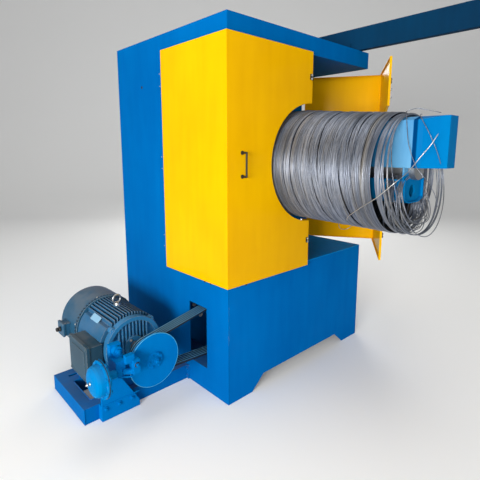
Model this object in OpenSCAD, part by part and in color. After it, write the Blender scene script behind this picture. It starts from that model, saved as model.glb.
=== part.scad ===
// Take-up block of a wire drawing machine: a C-shaped housing with a drum on a level axis,
// a coil of drawn wire pushed out along a mandrel, two corner guard doors, and a motor
// with V-belts and a disc brake on its own frame beside the base.
// X runs across the front, Y into the machine, Z up from the floor. The modules measure Y from
// the front face. The finished model's origin is on the floor below the drum's axis, in the
// plane of the column's front face, and seat() moves each piece there.

/* [Housing] */
// Width of the housing across its front
housing_w = 1500; // [1300:10:1700]
// Depth of the housing from front face to back
housing_d = 1300; // [1150:10:1500]
// Height of the housing without the beam
housing_h = 2372; // [2250:2:2600]
// Height of the base box in front of the column
base_h = 809; // [760:1:900]
// Height of the hood over the mouth
hood_h = 120; // [80:5:200]
// Depth of the mouth, from the front face to the column
mouth_d = 660; // [640:5:760]
// Thickness of the housing's plates
plate_t = 8; // [5:1:12]
// Height of the gap under the base's front wall
foot_gap_h = 95; // [50:5:140]
// Length of each foot at the floor
foot_len = 212; // [150:2:300]
// Length of the slope from each foot up to the gap's top
foot_slope = 110; // [40:5:160]

/* [Belt window] */
// Distance of the window's front edge from the front face
window_y0 = 217; // [190:1:224]
// Width of the window along the side
window_w = 192; // [180:2:260]
// Height of the window's lower edge
window_z0 = 163; // [120:1:220]
// Height of the window
window_h = 425; // [415:5:520]

/* [Guard doors] */
// How far the closed doors stand out from the housing
door_proud = 27; // [24:1:40]
// How far each door reaches up over the hood
door_over = 11; // [5:1:30]
// How far each door reaches down over the base
door_lap = 22; // [15:1:40]
// Depth of each door's side panel, from the front face
door_d = 640; // [560:5:645]
// Thickness of the doors' sheet
door_t = 3; // [2:0.5:4]
// Depth of the return edges round each door
door_return = 16; // [10:1:18]
// Gap between the two doors when both are closed
door_gap = 6; // [5:1:20]
// Radius of the round cut-out that the two doors share
cut_r = 404; // [400:1:440]
// Height of the cut-out's centre above the floor
cut_z = 1522; // [1510:1:1530]
// Angle by which the right door stands open
right_open = 33; // [0:1:80]
// Distance of the hinge pins from the front face
hinge_y = 662; // [658:1:700]
// Distance of the hinge pins outside the housing's sides
hinge_out = 12; // [11:0.5:14]
// Radius of the hinge knuckles
knuckle_r = 8; // [7:0.5:8.5]
// Radius of the hinge pins
hinge_pin_r = 4; // [3:0.5:5]
// Length of one hinge
hinge_len = 120; // [90:5:160]
// Distance between the handle's two feet
handle_span = 140; // [100:5:200]
// Height of the handle's middle above the floor
handle_z = 1529; // [1300:1:1700]
// Distance of the handle from the door's corner edge
handle_in = 118; // [60:1:200]
// Thickness of the handle's bar
handle_bar = 12; // [8:1:18]
// How far the handle stands off the door
handle_off = 38; // [28:1:50]

/* [Drum and mandrel] */
// Height of the drum's axis above the floor
drum_z = 1513; // [1508:1:1520]
// Radius of the drum's working face
drum_r = 355; // [330:1:358]
// Distance of the drum's front edge inside the front face
drum_front = 20; // [0:5:60]
// Distance from the drum's back edge to the column
drum_back_gap = 70; // [60:5:110]
// Thickness of the drum's shell
drum_wall = 14; // [10:1:20]
// Height of the drum's rear collar above its face
collar_h = 30; // [15:1:36]
// Radius of the spindle
spindle_r = 65; // [45:1:80]
// Reach of the mandrel's upper arm in front of the front face
mandrel_reach = 950; // [920:5:1100]
// Reach of the mandrel's lower arm in front of the front face
lower_reach = 765; // [700:5:900]
// Height of the upper arm's top above the axis
mandrel_top = 282; // [260:1:290]
// Depth of the lower arm's bottom below the axis
mandrel_bottom = 196; // [150:1:240]
// Half width of the mandrel's arms
mandrel_half_w = 122; // [100:1:130]
// Width of the sloping shoulder along each arm's outer edges
shoulder = 62; // [30:1:80]
// Height of the sloping shoulder
shoulder_h = 20; // [10:1:30]
// Thickness of the mandrel's plates
mandrel_t = 8; // [5:1:12]
// Height of the upper arm's lower edge above the axis
mandrel_rise = 6; // [0:1:40]
// Depth of the lower arm's upper edge below the axis
mandrel_drop = 60; // [30:2:100]
// Reach of the upper arm before its sides fold inwards to the nose
fold_reach = 812; // [780:2:880]
// Half width of the nose's end
nose_half_w = 52; // [30:1:100]

/* [Wire coil] */
// Thickness of the layers of wire
coil_t = 11; // [8:1:16]
// Radius of the coil's bore at its outer end
coil_end_r = 330; // [310:1:340]
// Distance from the coil's inner end to the drum's back edge
coil_back_gap = 130; // [60:5:260]
// Reach of the coil in front of the front face
coil_reach = 850; // [780:5:960]

/* [Overhead beam] */
// Height of the beam's channel section
beam_h = 164; // [120:2:200]
// Width of the beam's flanges
beam_w = 50; // [40:1:75]
// Distance of the beam's web from the housing's right side
beam_in = 150; // [80:5:400]
// Reach of the beam in front of the front face
beam_reach = 1100; // [700:10:1300]
// Thickness of the beam's web and flanges
beam_t = 9; // [6:1:12]

/* [Motor and belts] */
// Distance of the motor's axis from the machine's middle
motor_x = 1154; // [1130:1:1200]
// Height of the motor's axis above the floor
motor_z = 387; // [380:1:400]
// Distance of the motor's end shield from the front face
motor_y = 445; // [440:1:470]
// Length of the motor's finned body
motor_len = 408; // [380:2:440]
// Radius over the motor's fins
motor_r = 188; // [180:1:195]
// Radius of the motor's fan cowl
cowl_r = 219; // [205:1:225]
// Length of the fan cowl
cowl_len = 292; // [200:2:320]
// Height of the motor's axis above its feet
motor_centre_h = 200; // [196:1:210]
// Distance between the motor's feet across its axis
foot_span = 318; // [300:2:340]
// Distance between the motor's feet along its axis
foot_run = 305; // [280:1:320]
// Radius of the motor's shaft
shaft_r = 27; // [20:1:35]
// Radius of the belts' back on the motor pulley
belt_r1 = 107; // [95:1:112]
// Radius of the belts' back on the driven pulley
belt_r2 = 199; // [150:1:205]
// Distance of the driven pulley's axis from the machine's middle
driven_x = 420; // [400:5:460]
// Height of the driven pulley's axis above the floor
driven_z = 437; // [430:1:450]
// Number of belts side by side
belt_count = 5; // [3:1:5]
// Distance between neighbouring belts
belt_pitch = 18; // [17.5:0.25:19]
// Width of one belt across its back
belt_w = 16; // [13:0.5:16.5]
// Thickness of one belt
belt_t = 13; // [10:0.5:14]
// Distance of the first belt from the front face
belt_y = 231; // [228:1:234]
// Running clearance between belts and grooves
belt_clear = 0.4; // [0.3:0.1:0.6]

/* [Brake] */
// Radius of the brake disc
disc_r = 164; // [150:1:170]
// Distance of the brake disc's face from the front face
disc_y = 200; // [196:1:204]
// Thickness of the brake disc
disc_t = 12; // [8:1:14]
// Gap between the disc and each brake pad
pad_gap = 5; // [5:0.5:7]
// Radius of the brake's air chamber over its flange
chamber_r = 104; // [90:1:112]

/* [Motor frame] */
// Height of the motor frame's channels
rail_h = 100; // [80:5:120]
// Width of the motor frame's channels
rail_w = 70; // [50:5:80]
// Thickness of the channels' walls
rail_t = 8; // [6:1:10]
// Distance of the frame's front rail from the front face
rail_y0 = 440; // [430:5:450]
// Distance of the frame's back from the front face
rail_y1 = 950; // [940:5:1000]
// Distance of the frame's outer rail from the machine's middle
rail_x = 1500; // [1480:5:1540]

/* [Hidden] */
$fn = 96;
half_w = housing_w / 2;
mouth_top = housing_h - hood_h;
seat_gap = 0.3;
run_gap = 0.3;
paint_blue = [0.02, 0.44, 0.76];
paint_yellow = [0.97, 0.77, 0.06];
motor_grey = [0.33, 0.43, 0.47];
steel_grey = [0.50, 0.52, 0.54];
bare_steel = [0.74, 0.75, 0.76];
rubber_black = [0.13, 0.15, 0.16];

// Moves a piece from the front face's frame to the model's own origin
module seat() {
    translate([0, -mouth_d, 0]) children();
}

// Turns a shape drawn in X and Y to stand in X and Z, with its height running towards -Y
module along_y(x, z) {
    translate([x, 0, z]) rotate([90, 0, 0]) children();
}

// Housing
module column() {
    color(paint_blue)
    translate([-half_w, mouth_d, 0])
    cube([housing_w, housing_d - mouth_d, housing_h]);
}

module hood() {
    color(paint_blue)
    translate([-half_w, 0, mouth_top])
    cube([housing_w, mouth_d, hood_h]);
}

wall_h = base_h - plate_t;

module base_left_wall() {
    color(paint_blue)
    difference() {
        translate([-half_w, 0, 0]) cube([plate_t, mouth_d, wall_h]);
        translate([-half_w - 1, window_y0, window_z0]) cube([plate_t + 2, window_w, window_h]);
    }
}

module base_right_wall() {
    color(paint_blue)
    translate([half_w - plate_t, 0, 0]) cube([plate_t, mouth_d, wall_h]);
}

inner_half = half_w - plate_t;

module base_front_wall() {
    color(paint_blue)
    translate([0, plate_t, 0]) rotate([90, 0, 0])
    linear_extrude(plate_t)
    polygon([
        [-inner_half, 0],
        [-half_w + foot_len, 0],
        [-half_w + foot_len + foot_slope, foot_gap_h],
        [half_w - foot_len - foot_slope, foot_gap_h],
        [half_w - foot_len, 0],
        [inner_half, 0],
        [inner_half, wall_h],
        [-inner_half, wall_h]
    ]);
}

module base_top_plate() {
    color(paint_blue)
    translate([-half_w, 0, wall_h]) cube([housing_w, mouth_d, plate_t]);
}

// Overhead beam, a channel lying on the housing's top with its web to the left
beam_back = housing_d - 40;
beam_x = half_w - beam_in;

module overhead_beam() {
    color(paint_blue)
    translate([beam_x, beam_back, housing_h])
    rotate([90, 0, 0])
    linear_extrude(beam_back + beam_reach)
    polygon([
        [0, 0], [beam_w, 0], [beam_w, beam_t], [beam_t, beam_t],
        [beam_t, beam_h - beam_t], [beam_w, beam_h - beam_t], [beam_w, beam_h], [0, beam_h]
    ]);
}

cleat_leg = 60;
cleat_len = 90;
cleat_t = 8;
cleat_ys = [70, mouth_d + 120, beam_back - 160];

module beam_cleats() {
    color(paint_blue)
    for (y = cleat_ys)
        translate([beam_x, y + cleat_len, housing_h])
        rotate([90, 0, 0])
        linear_extrude(cleat_len)
        polygon([[-cleat_leg, 0], [0, 0], [0, cleat_leg], [-cleat_t, cleat_leg], [-cleat_t, cleat_t], [-cleat_leg, cleat_t]]);
}

// Guard doors
door_z0 = base_h - door_lap;
door_h = mouth_top + door_over - door_z0;
door_out = half_w + door_proud;
hinge_x = half_w + hinge_out;
hinge_zs = [door_z0 + 180, door_z0 + door_h / 2, door_z0 + door_h - 180];
knuckle_third = hinge_len / 3;

// Outline of the left door seen from above: front panel, side panel and its two return edges
module door_plan() {
    polygon([
        [-door_gap / 2, -door_proud],
        [-door_out, -door_proud],
        [-door_out, door_d],
        [-door_out + door_return, door_d],
        [-door_out + door_return, door_d - door_t],
        [-door_out + door_t, door_d - door_t],
        [-door_out + door_t, -door_proud + door_t],
        [-door_gap / 2 - door_t, -door_proud + door_t],
        [-door_gap / 2 - door_t, -door_proud + door_return],
        [-door_gap / 2, -door_proud + door_return]
    ]);
}

// The return edge along the top or the bottom of a door
module door_edge_plan() {
    polygon([
        [-door_gap / 2, -door_proud],
        [-door_out, -door_proud],
        [-door_out, door_d],
        [-door_out + door_return, door_d],
        [-door_out + door_return, -door_proud + door_return],
        [-door_gap / 2, -door_proud + door_return]
    ]);
}

module door_cut(r, y0, depth) {
    translate([0, y0, cut_z]) rotate([-90, 0, 0]) cylinder(r = r, h = depth);
}

module left_leaf() {
    translate([0, 0, door_z0])
    difference() {
        union() {
            linear_extrude(door_h) door_plan();
            linear_extrude(door_t) door_edge_plan();
            translate([0, 0, door_h - door_t]) linear_extrude(door_t) door_edge_plan();
        }
        translate([0, 0, -door_z0]) door_cut(cut_r, -door_proud - 1, door_return + 2);
        // Notches in the rear edge for the hinges' leaves
        for (z = hinge_zs)
            translate([-door_out + door_t, door_d - door_t - 1, z - door_z0 - knuckle_third / 2])
            cube([door_return, door_t + 2, knuckle_third]);
    }
    // Rolled lip round the cut-out, on the inside of the front panel
    intersection() {
        difference() {
            door_cut(cut_r + door_t, -door_proud, door_return);
            door_cut(cut_r, -door_proud - 1, door_return + 2);
        }
        translate([-door_out, -door_proud, door_z0]) cube([door_out - door_gap / 2, door_return, door_h]);
    }
}

// Carries a closed right-hand piece to where the open right door holds it
module swing_right() {
    translate([hinge_x, hinge_y, 0]) rotate([0, 0, right_open]) translate([-hinge_x, -hinge_y, 0]) children();
}

module left_door() {
    color(paint_yellow) left_leaf();
}

module right_door() {
    color(paint_yellow) swing_right() mirror([1, 0, 0]) left_leaf();
}

// Hinges: each has two knuckles and a pin on the housing and one knuckle on the door
knuckle_gap = 1;
leaf_t = 3;
fixed_leaf_w = 46;

module fixed_hinge() {
    for (s = [-1, 1])
        translate([-hinge_x, hinge_y, s * knuckle_third - knuckle_third / 2])
        cylinder(r = knuckle_r, h = knuckle_third);
    translate([-hinge_x, hinge_y, -hinge_len / 2]) cylinder(r = hinge_pin_r, h = hinge_len);
    for (s = [-1, 1])
        translate([-hinge_x, hinge_y, s * knuckle_third - knuckle_third / 2])
        cube([hinge_out - leaf_t / 2, leaf_t, knuckle_third]);
    translate([-half_w - leaf_t, hinge_y, -hinge_len / 2]) cube([leaf_t, fixed_leaf_w, hinge_len]);
}

// The door's knuckle and its leaf, which runs forward and out to the side panel's inner face
leaf_reach = 40;
leaf_x = -door_out + door_t;

module door_knuckle() {
    h = knuckle_third - 2 * knuckle_gap;
    difference() {
        union() {
            translate([-hinge_x, hinge_y, -h / 2]) cylinder(r = knuckle_r, h = h);
            translate([0, 0, -h / 2])
            linear_extrude(h)
            polygon([
                [leaf_x, door_d - door_t - leaf_reach],
                [leaf_x + leaf_t, door_d - door_t - leaf_reach],
                [leaf_x + leaf_t, door_d - door_t - 8],
                [-hinge_x + knuckle_r * 0.3, hinge_y - knuckle_r * 0.9],
                [-hinge_x - knuckle_r * 0.6, hinge_y - knuckle_r * 0.5],
                [leaf_x, door_d - door_t - 12]
            ]);
        }
        translate([-hinge_x, hinge_y, -h]) cylinder(r = hinge_pin_r + seat_gap, h = 2 * h);
    }
}

module hinge_row() {
    for (z = hinge_zs) translate([0, 0, z]) children();
}

module left_hinges() {
    color(bare_steel) hinge_row() fixed_hinge();
}

module right_hinges() {
    color(bare_steel) mirror([1, 0, 0]) hinge_row() fixed_hinge();
}

module left_door_knuckles() {
    color(bare_steel) hinge_row() door_knuckle();
}

module right_door_knuckles() {
    color(bare_steel) swing_right() mirror([1, 0, 0]) hinge_row() door_knuckle();
}

// Bow handle on the front panel, a bar with two feet
handle_x = -door_out + handle_in;

module bow_handle() {
    for (s = [-1, 1])
        translate([handle_x, -door_proud, handle_z + s * handle_span / 2])
        rotate([90, 0, 0]) cylinder(r = handle_bar / 2, h = handle_off);
    translate([handle_x, -door_proud - handle_off, handle_z - handle_span / 2])
    cylinder(r = handle_bar / 2, h = handle_span);
    for (s = [-1, 1])
        translate([handle_x, -door_proud - handle_off, handle_z + s * handle_span / 2])
        sphere(r = handle_bar / 2);
}

module left_door_handle() {
    color(rubber_black) bow_handle();
}

module right_door_handle() {
    color(rubber_black) swing_right() mirror([1, 0, 0]) bow_handle();
}

// Small catches at the meeting edge of each door
catch_zs = [door_z0 + 190, door_z0 + door_h - 165];
catch_w = 30;
catch_h = 36;
catch_t = 6;

module meeting_catches(x0) {
    for (z = catch_zs)
        translate([x0, -door_proud - catch_t, z - catch_h / 2]) cube([catch_w, catch_t, catch_h]);
}

module left_door_latches() {
    color(bare_steel) meeting_catches(-door_gap / 2 - catch_w);
}

module right_door_latches() {
    color(bare_steel) swing_right() meeting_catches(door_gap / 2);
}

// Roller catch on the base's top plate, behind the doors' meeting edges
base_catch_w = 46;
base_catch_y = 8;
base_catch_d = 44;
roller_r = 11;

module door_catch() {
    color(bare_steel)
    translate([-base_catch_w / 2, base_catch_y, base_h]) {
        cube([base_catch_w, base_catch_d, 4]);
        for (x = [0, base_catch_w - 4]) translate([x, 0, 0]) cube([4, base_catch_d / 2, 26]);
        translate([0, roller_r, 17]) rotate([0, 90, 0]) cylinder(r = roller_r, h = base_catch_w);
    }
}

// Drum, spindle and mandrel, all turning together on the drum's axis
drum_y0 = drum_front;
drum_y1 = mouth_d - drum_back_gap;
bearing_r = 190;
bearing_len = 46;
bearing_bolt_r = 9;
bearing_bolts = 12;
drum_hub_r = 120;
drum_hub_len = 140;

module spindle_bearing() {
    color(paint_blue)
    along_y(0, drum_z)
    difference() {
        rotate_extrude()
        polygon([
            [spindle_r + run_gap, -mouth_d],
            [bearing_r, -mouth_d],
            [bearing_r, -mouth_d + 24],
            [bearing_r - 40, -mouth_d + bearing_len],
            [spindle_r + run_gap, -mouth_d + bearing_len]
        ]);
        for (i = [0 : bearing_bolts - 1])
            rotate(i * 360 / bearing_bolts)
            translate([bearing_r - 18, 0, -mouth_d - 1])
            cylinder(r = bearing_bolt_r, h = 26, $fn = 24);
    }
}

spindle_front = -lower_reach - 20;

module spindle() {
    color(steel_grey)
    along_y(0, drum_z)
    translate([0, 0, -mouth_d + seat_gap])
    cylinder(r = spindle_r, h = mouth_d - seat_gap - spindle_front);
}

module drum() {
    color(steel_grey)
    along_y(0, drum_z)
    rotate_extrude()
    polygon([
        [drum_r, -drum_y0],
        [drum_r - drum_wall, -drum_y0],
        [drum_r - drum_wall, -drum_y1],
        [drum_r + collar_h, -drum_y1],
        [drum_r + collar_h, -drum_y1 + 14],
        [drum_r, -drum_y1 + 14 + collar_h]
    ]);
}

web_t = 20;
web_y = (drum_y0 + drum_y1) / 2;
web_holes = 6;
web_hole_r = 55;
web_hole_pcr = (drum_hub_r + drum_r - drum_wall) / 2;

module drum_web() {
    color(steel_grey)
    along_y(0, drum_z)
    difference() {
        union() {
            translate([0, 0, -web_y - web_t / 2]) cylinder(r = drum_r - drum_wall, h = web_t);
            translate([0, 0, -web_y - drum_hub_len / 2]) cylinder(r = drum_hub_r, h = drum_hub_len);
        }
        translate([0, 0, -web_y - drum_hub_len]) cylinder(r = spindle_r, h = 2 * drum_hub_len);
        for (i = [0 : web_holes - 1])
            rotate((i + 0.5) * 360 / web_holes)
            translate([web_hole_pcr, 0, -web_y - web_t])
            cylinder(r = web_hole_r, h = 2 * web_t);
    }
}

// The mandrel: an upper and a lower arm of folded plate on either side of the spindle
mandrel_back = drum_front + 10;
arm_web = mandrel_t * 0.9;

// Outline of an arm's plate, from its open edge to its outer face
module arm_plan(side, inner, outer) {
    out = [
        [-mandrel_half_w, inner], [-mandrel_half_w, outer - shoulder_h],
        [-mandrel_half_w + shoulder, outer], [mandrel_half_w - shoulder, outer],
        [mandrel_half_w, outer - shoulder_h], [mandrel_half_w, inner],
        [mandrel_half_w - mandrel_t, inner], [mandrel_half_w - mandrel_t, outer - shoulder_h - arm_web],
        [mandrel_half_w - shoulder - 1, outer - mandrel_t],
        [-mandrel_half_w + shoulder + 1, outer - mandrel_t],
        [-mandrel_half_w + mandrel_t, outer - shoulder_h - arm_web],
        [-mandrel_half_w + mandrel_t, inner]
    ];
    polygon([for (p = out) [p[0], side * p[1]]]);
}

// The flat plate that fills an arm's section, from a given height and set in from the folded plate
module arm_frame_plan(side, inner, outer, inset) {
    in_w = mandrel_half_w - mandrel_t - inset;
    in_top = outer - mandrel_t - inset;
    in_side = outer - shoulder_h - arm_web - inset;
    out = [
        [-in_w, inner], [-in_w, in_side], [-mandrel_half_w + shoulder + 1 + inset, in_top],
        [mandrel_half_w - shoulder - 1 - inset, in_top], [in_w, in_side], [in_w, inner]
    ];
    polygon([for (p = out) [p[0], side * p[1]]]);
}

// The filled section of an arm over its folded plate
module arm_outer_plan(inner, outer) {
    polygon([
        [-mandrel_half_w, inner], [-mandrel_half_w, outer - shoulder_h],
        [-mandrel_half_w + shoulder, outer], [mandrel_half_w - shoulder, outer],
        [mandrel_half_w, outer - shoulder_h], [mandrel_half_w, inner]
    ]);
}

// The nose seen from above: the sides fold inwards in two bends to a blunt end
fold_bend = 26;
fold_in = 7;

module nose_prism(inset) {
    w = [mandrel_half_w - inset, mandrel_half_w - fold_in - inset, nose_half_w - inset];
    z = [fold_reach - 2, fold_reach, fold_reach + fold_bend, mandrel_reach - inset];
    rotate([-90, 0, 0])
    linear_extrude(mandrel_top + 2)
    polygon([
        [-w[0], -z[0]], [-w[0], -z[1]], [-w[1], -z[2]], [-w[2], -z[3]],
        [w[2], -z[3]], [w[1], -z[2]], [w[0], -z[1]], [w[0], -z[0]]
    ]);
}

module mandrel_upper() {
    color(paint_blue)
    along_y(0, drum_z) {
        translate([0, 0, -mandrel_back]) linear_extrude(mandrel_back + fold_reach) arm_plan(1, mandrel_rise, mandrel_top);
        difference() {
            intersection() {
                translate([0, 0, fold_reach - 1])
                linear_extrude(mandrel_reach - fold_reach + 1) arm_outer_plan(mandrel_rise, mandrel_top);
                nose_prism(0);
            }
            intersection() {
                translate([0, 0, fold_reach - 2])
                linear_extrude(mandrel_reach - fold_reach) arm_frame_plan(1, mandrel_rise - 1, mandrel_top, 0);
                nose_prism(mandrel_t);
            }
        }
    }
}

module mandrel_lower() {
    color(paint_blue)
    along_y(0, drum_z)
    translate([0, 0, -mandrel_back]) linear_extrude(mandrel_back + lower_reach) arm_plan(-1, mandrel_drop, mandrel_bottom);
}

// Cross frames inside the arms, welded to the spindle
frame_t = 10;
frame_ys = [-mandrel_back + frame_t, lower_reach * 0.55, lower_reach - 24];
frame_hole_r = 36;

module mandrel_frames() {
    color(paint_blue)
    along_y(0, drum_z)
    for (y = frame_ys)
        translate([0, 0, y]) linear_extrude(frame_t)
        difference() {
            union() {
                arm_frame_plan(1, 0, mandrel_top, 0.2);
                arm_frame_plan(-1, 0, mandrel_bottom, 0.2);
            }
            circle(r = spindle_r);
            translate([0, (mandrel_top + spindle_r) / 2]) circle(r = frame_hole_r);
            translate([0, -(mandrel_bottom + spindle_r) / 2]) circle(r = frame_hole_r);
        }
}

// Coil of wire: tight on the drum, then easing off and sagging onto the mandrel
coil_y1 = drum_y1 - coil_back_gap;
coil_steps = 12;
coil_lap = 2;
tight_r = drum_r + seat_gap;
coil_len_out = coil_reach + drum_y0;
mandrel_flat = mandrel_half_w - shoulder;
end_sag = sqrt(pow(coil_end_r - seat_gap, 2) - pow(mandrel_flat, 2)) - mandrel_top;

function coil_t_at(i) = i / (coil_steps - 1);
function coil_bore(i) = tight_r + (coil_end_r - tight_r) * coil_t_at(i);
function coil_sag(i) = end_sag * coil_t_at(i);

module wire_coil() {
    color(steel_grey) {
        along_y(0, drum_z)
        translate([0, 0, -coil_y1])
        linear_extrude(coil_y1 - drum_y0) coil_ring(0);
        for (i = [0 : coil_steps - 1])
            along_y(0, drum_z)
            translate([0, 0, -drum_y0 + i * coil_len_out / coil_steps - coil_lap])
            linear_extrude(coil_len_out / coil_steps + coil_lap) coil_ring(i);
    }
}

module coil_ring(i) {
    translate([0, -coil_sag(i)])
    difference() {
        circle(r = coil_bore(i) + coil_t);
        circle(r = coil_bore(i));
    }
}

// Belt drive: both pulleys and the belts are drawn in X and Z and stand in Y
p1 = [-motor_x, motor_z];
p2 = [-driven_x, driven_z];
belt_span = norm(p2 - p1);
belt_tilt = atan2(p2[1] - p1[1], p2[0] - p1[0]);
belt_flare = asin((belt_r2 - belt_r1) / belt_span);
belt_taper = 3.2;
belt_lap = 0.5;
rim_side = 6;
rim_stand = 3;
pulley_w = (belt_count - 1) * belt_pitch + belt_w + 2 * rim_side;
pulley_y = belt_y - rim_side;
straight_len = belt_span * cos(belt_flare);

// A belt's section at radius r, its back outward, its middle at height 0
module belt_section(r, grow) {
    polygon([
        [r, -belt_w / 2 - grow],
        [r, belt_w / 2 + grow],
        [r - belt_t - grow, belt_w / 2 - belt_taper + grow],
        [r - belt_t - grow, -belt_w / 2 + belt_taper - grow]
    ]);
}

module belt_straight(start, r, line_angle, side) {
    normal = line_angle + side * 90;
    at = start + r * [cos(normal), sin(normal)];
    translate([at[0], at[1], 0])
    rotate([0, 0, line_angle])
    translate([-belt_lap, 0, 0])
    rotate([90, 0, 90])
    linear_extrude(straight_len + 2 * belt_lap)
    polygon([
        [0, -belt_w / 2], [0, belt_w / 2],
        [-side * belt_t, belt_w / 2 - belt_taper], [-side * belt_t, -belt_w / 2 + belt_taper]
    ]);
}

module belt_wrap(centre, r, from, sweep) {
    translate([centre[0], centre[1], 0])
    rotate([0, 0, from])
    rotate_extrude(angle = sweep) belt_section(r, 0);
}

module one_belt() {
    belt_wrap(p1, belt_r1, belt_tilt + 90 + belt_flare, 180 - 2 * belt_flare);
    belt_wrap(p2, belt_r2, belt_tilt - 90 - belt_flare, 180 + 2 * belt_flare);
    belt_straight(p1, belt_r1, belt_tilt + belt_flare, 1);
    belt_straight(p1, belt_r1, belt_tilt - belt_flare, -1);
}

function belt_mid(i) = belt_y + belt_w / 2 + i * belt_pitch;

module drive_belts() {
    color(rubber_black)
    for (i = [0 : belt_count - 1])
        translate([0, belt_mid(i), 0]) rotate([90, 0, 0]) one_belt();
}

// A pulley's rim: grooves that take the belts, with a flat between them
module pulley_rim(r, bore) {
    rim_r = r - rim_stand;
    floor_r = r - belt_t - 2;
    difference() {
        translate([0, 0, -pulley_y - pulley_w]) cylinder(r = rim_r, h = pulley_w);
        for (i = [0 : belt_count - 1])
            translate([0, 0, -belt_mid(i)])
            rotate_extrude()
            polygon([
                [r, -belt_w / 2 - belt_clear],
                [r, belt_w / 2 + belt_clear],
                [floor_r, belt_w / 2 - belt_taper + belt_clear],
                [floor_r, -belt_w / 2 + belt_taper - belt_clear]
            ]);
        translate([0, 0, -pulley_y - pulley_w - 1]) cylinder(r = bore, h = pulley_w + 2);
    }
}

module motor_pulley() {
    color(steel_grey) along_y(-motor_x, motor_z) pulley_rim(belt_r1, shaft_r);
}

driven_shaft_r = 35;
driven_spokes = 6;

module driven_pulley() {
    color(steel_grey)
    along_y(-driven_x, driven_z)
    difference() {
        pulley_rim(belt_r2, driven_shaft_r);
        for (i = [0 : driven_spokes - 1])
            rotate(i * 360 / driven_spokes)
            translate([105, 0, -pulley_y - pulley_w - 1])
            cylinder(r = 32, h = pulley_w + 2);
    }
}

driven_bearing_len = 120;
driven_bearing_r = 95;

module driven_shaft() {
    color(bare_steel)
    along_y(-driven_x, driven_z)
    translate([0, 0, -mouth_d + seat_gap]) cylinder(r = driven_shaft_r, h = mouth_d - seat_gap - pulley_y + 12);
}

module driven_bearing() {
    color(paint_blue)
    along_y(-driven_x, driven_z)
    rotate_extrude()
    polygon([
        [driven_shaft_r + run_gap, -mouth_d],
        [driven_bearing_r + 40, -mouth_d],
        [driven_bearing_r + 40, -mouth_d + 20],
        [driven_bearing_r, -mouth_d + 20],
        [driven_bearing_r - 14, -mouth_d + driven_bearing_len],
        [driven_shaft_r + run_gap, -mouth_d + driven_bearing_len]
    ]);
}

// Motor
shield_len = 46;
body_y0 = motor_y + shield_len;
body_y1 = motor_y + motor_len;
core_r = motor_r - 30;
fin_t = 5;
fin_pitch = 20;
fin_r = motor_r + 18;
side_x = 115;
under_fin_gap = 8;
eye_seat_r = fin_r + 2;
side_z0 = -80;
side_z1 = 140;
body_len = body_y1 - body_y0;
pad_len = 296;
name_pad_w = 76;
name_pad_low = 44;
name_pad_r = 188;

// A row of parallel fins on one side of the core, from number first to number last
module fin_row(first, last, reach = fin_r) {
    for (i = [first : last])
        intersection() {
            translate([i * fin_pitch - fin_t / 2, 60, 6]) cube([fin_t, reach, body_len - 12]);
            cylinder(r = reach, h = body_len);
        }
}

module motor_body() {
    color(motor_grey)
    along_y(-motor_x, motor_z)
    translate([0, 0, -body_y1]) {
        cylinder(r = core_r, h = body_len);
        fin_row(-6, 7);
        rotate(-90) fin_row(-5, 4);
        rotate(180) fin_row(-5, 5, motor_centre_h - under_fin_gap);
        // Flat pad for the name plate, and the smooth outer side that carries the terminal box
        rotate(45) translate([-name_pad_low, 0, 8]) cube([name_pad_w, name_pad_r, pad_len]);
        intersection() {
            translate([-fin_r, side_z0, 14]) cube([fin_r - side_x, side_z1 - side_z0, body_len - 28]);
            cylinder(r = fin_r, h = body_len);
        }
        // Boss for the lifting eye
        translate([0, core_r - 10, body_y1 - eye_y]) rotate([-90, 0, 0]) cylinder(r = 26, h = eye_seat_r - core_r + 10);
    }
}

shield_ring = 26;
shield_floor = 16;
shield_ribs = 4;
shield_rib_pitch = 24;
shield_hub_r = 62;

module motor_end_shield() {
    color(motor_grey)
    along_y(-motor_x, motor_z)
    difference() {
        union() {
            difference() {
                translate([0, 0, -body_y0]) cylinder(r = motor_r, h = shield_len);
                translate([0, 0, -body_y0 + shield_floor]) cylinder(r = motor_r - shield_ring, h = shield_len);
            }
            intersection() {
                translate([0, 0, -body_y0]) cylinder(r = motor_r - shield_ring + 1, h = shield_len - 8);
                for (i = [-shield_ribs : shield_ribs])
                    translate([i * shield_rib_pitch - 4, -motor_r, -body_y0]) cube([8, 2 * motor_r, shield_len]);
            }
            translate([0, 0, -body_y0]) cylinder(r = shield_hub_r, h = shield_len);
            for (a = [45 : 90 : 315])
                rotate(a) translate([motor_r, 0, -body_y0]) cylinder(r = 20, h = 30);
        }
        translate([0, 0, -body_y0 - 1]) cylinder(r = shaft_r + run_gap, h = shield_len + 2);
    }
}

module motor_fan_cowl() {
    color(motor_grey)
    along_y(-motor_x, motor_z)
    rotate_extrude()
    polygon([
        [0, -body_y1],
        [cowl_r - 8, -body_y1],
        [cowl_r - 8, -body_y1 - 6],
        [cowl_r, -body_y1 - 6],
        [cowl_r, -body_y1 - cowl_len + 40],
        [cowl_r - 12, -body_y1 - cowl_len + 12],
        [cowl_r - 40, -body_y1 - cowl_len],
        [cowl_r - 60, -body_y1 - cowl_len],
        [cowl_r - 60, -body_y1 - cowl_len + 10],
        [0, -body_y1 - cowl_len + 10]
    ]);
}

foot_z = motor_z - motor_centre_h;
foot_t = 22;
foot_w = 80;
foot_l = 50;
foot_mid_y = (body_y0 + body_y1) / 2;
foot_hole_r = 9;

foot_rib = 16;
foot_web_h = 90;
foot_gusset = 60;
foot_gusset_h = 40;
foot_hole_out = 14;

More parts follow.
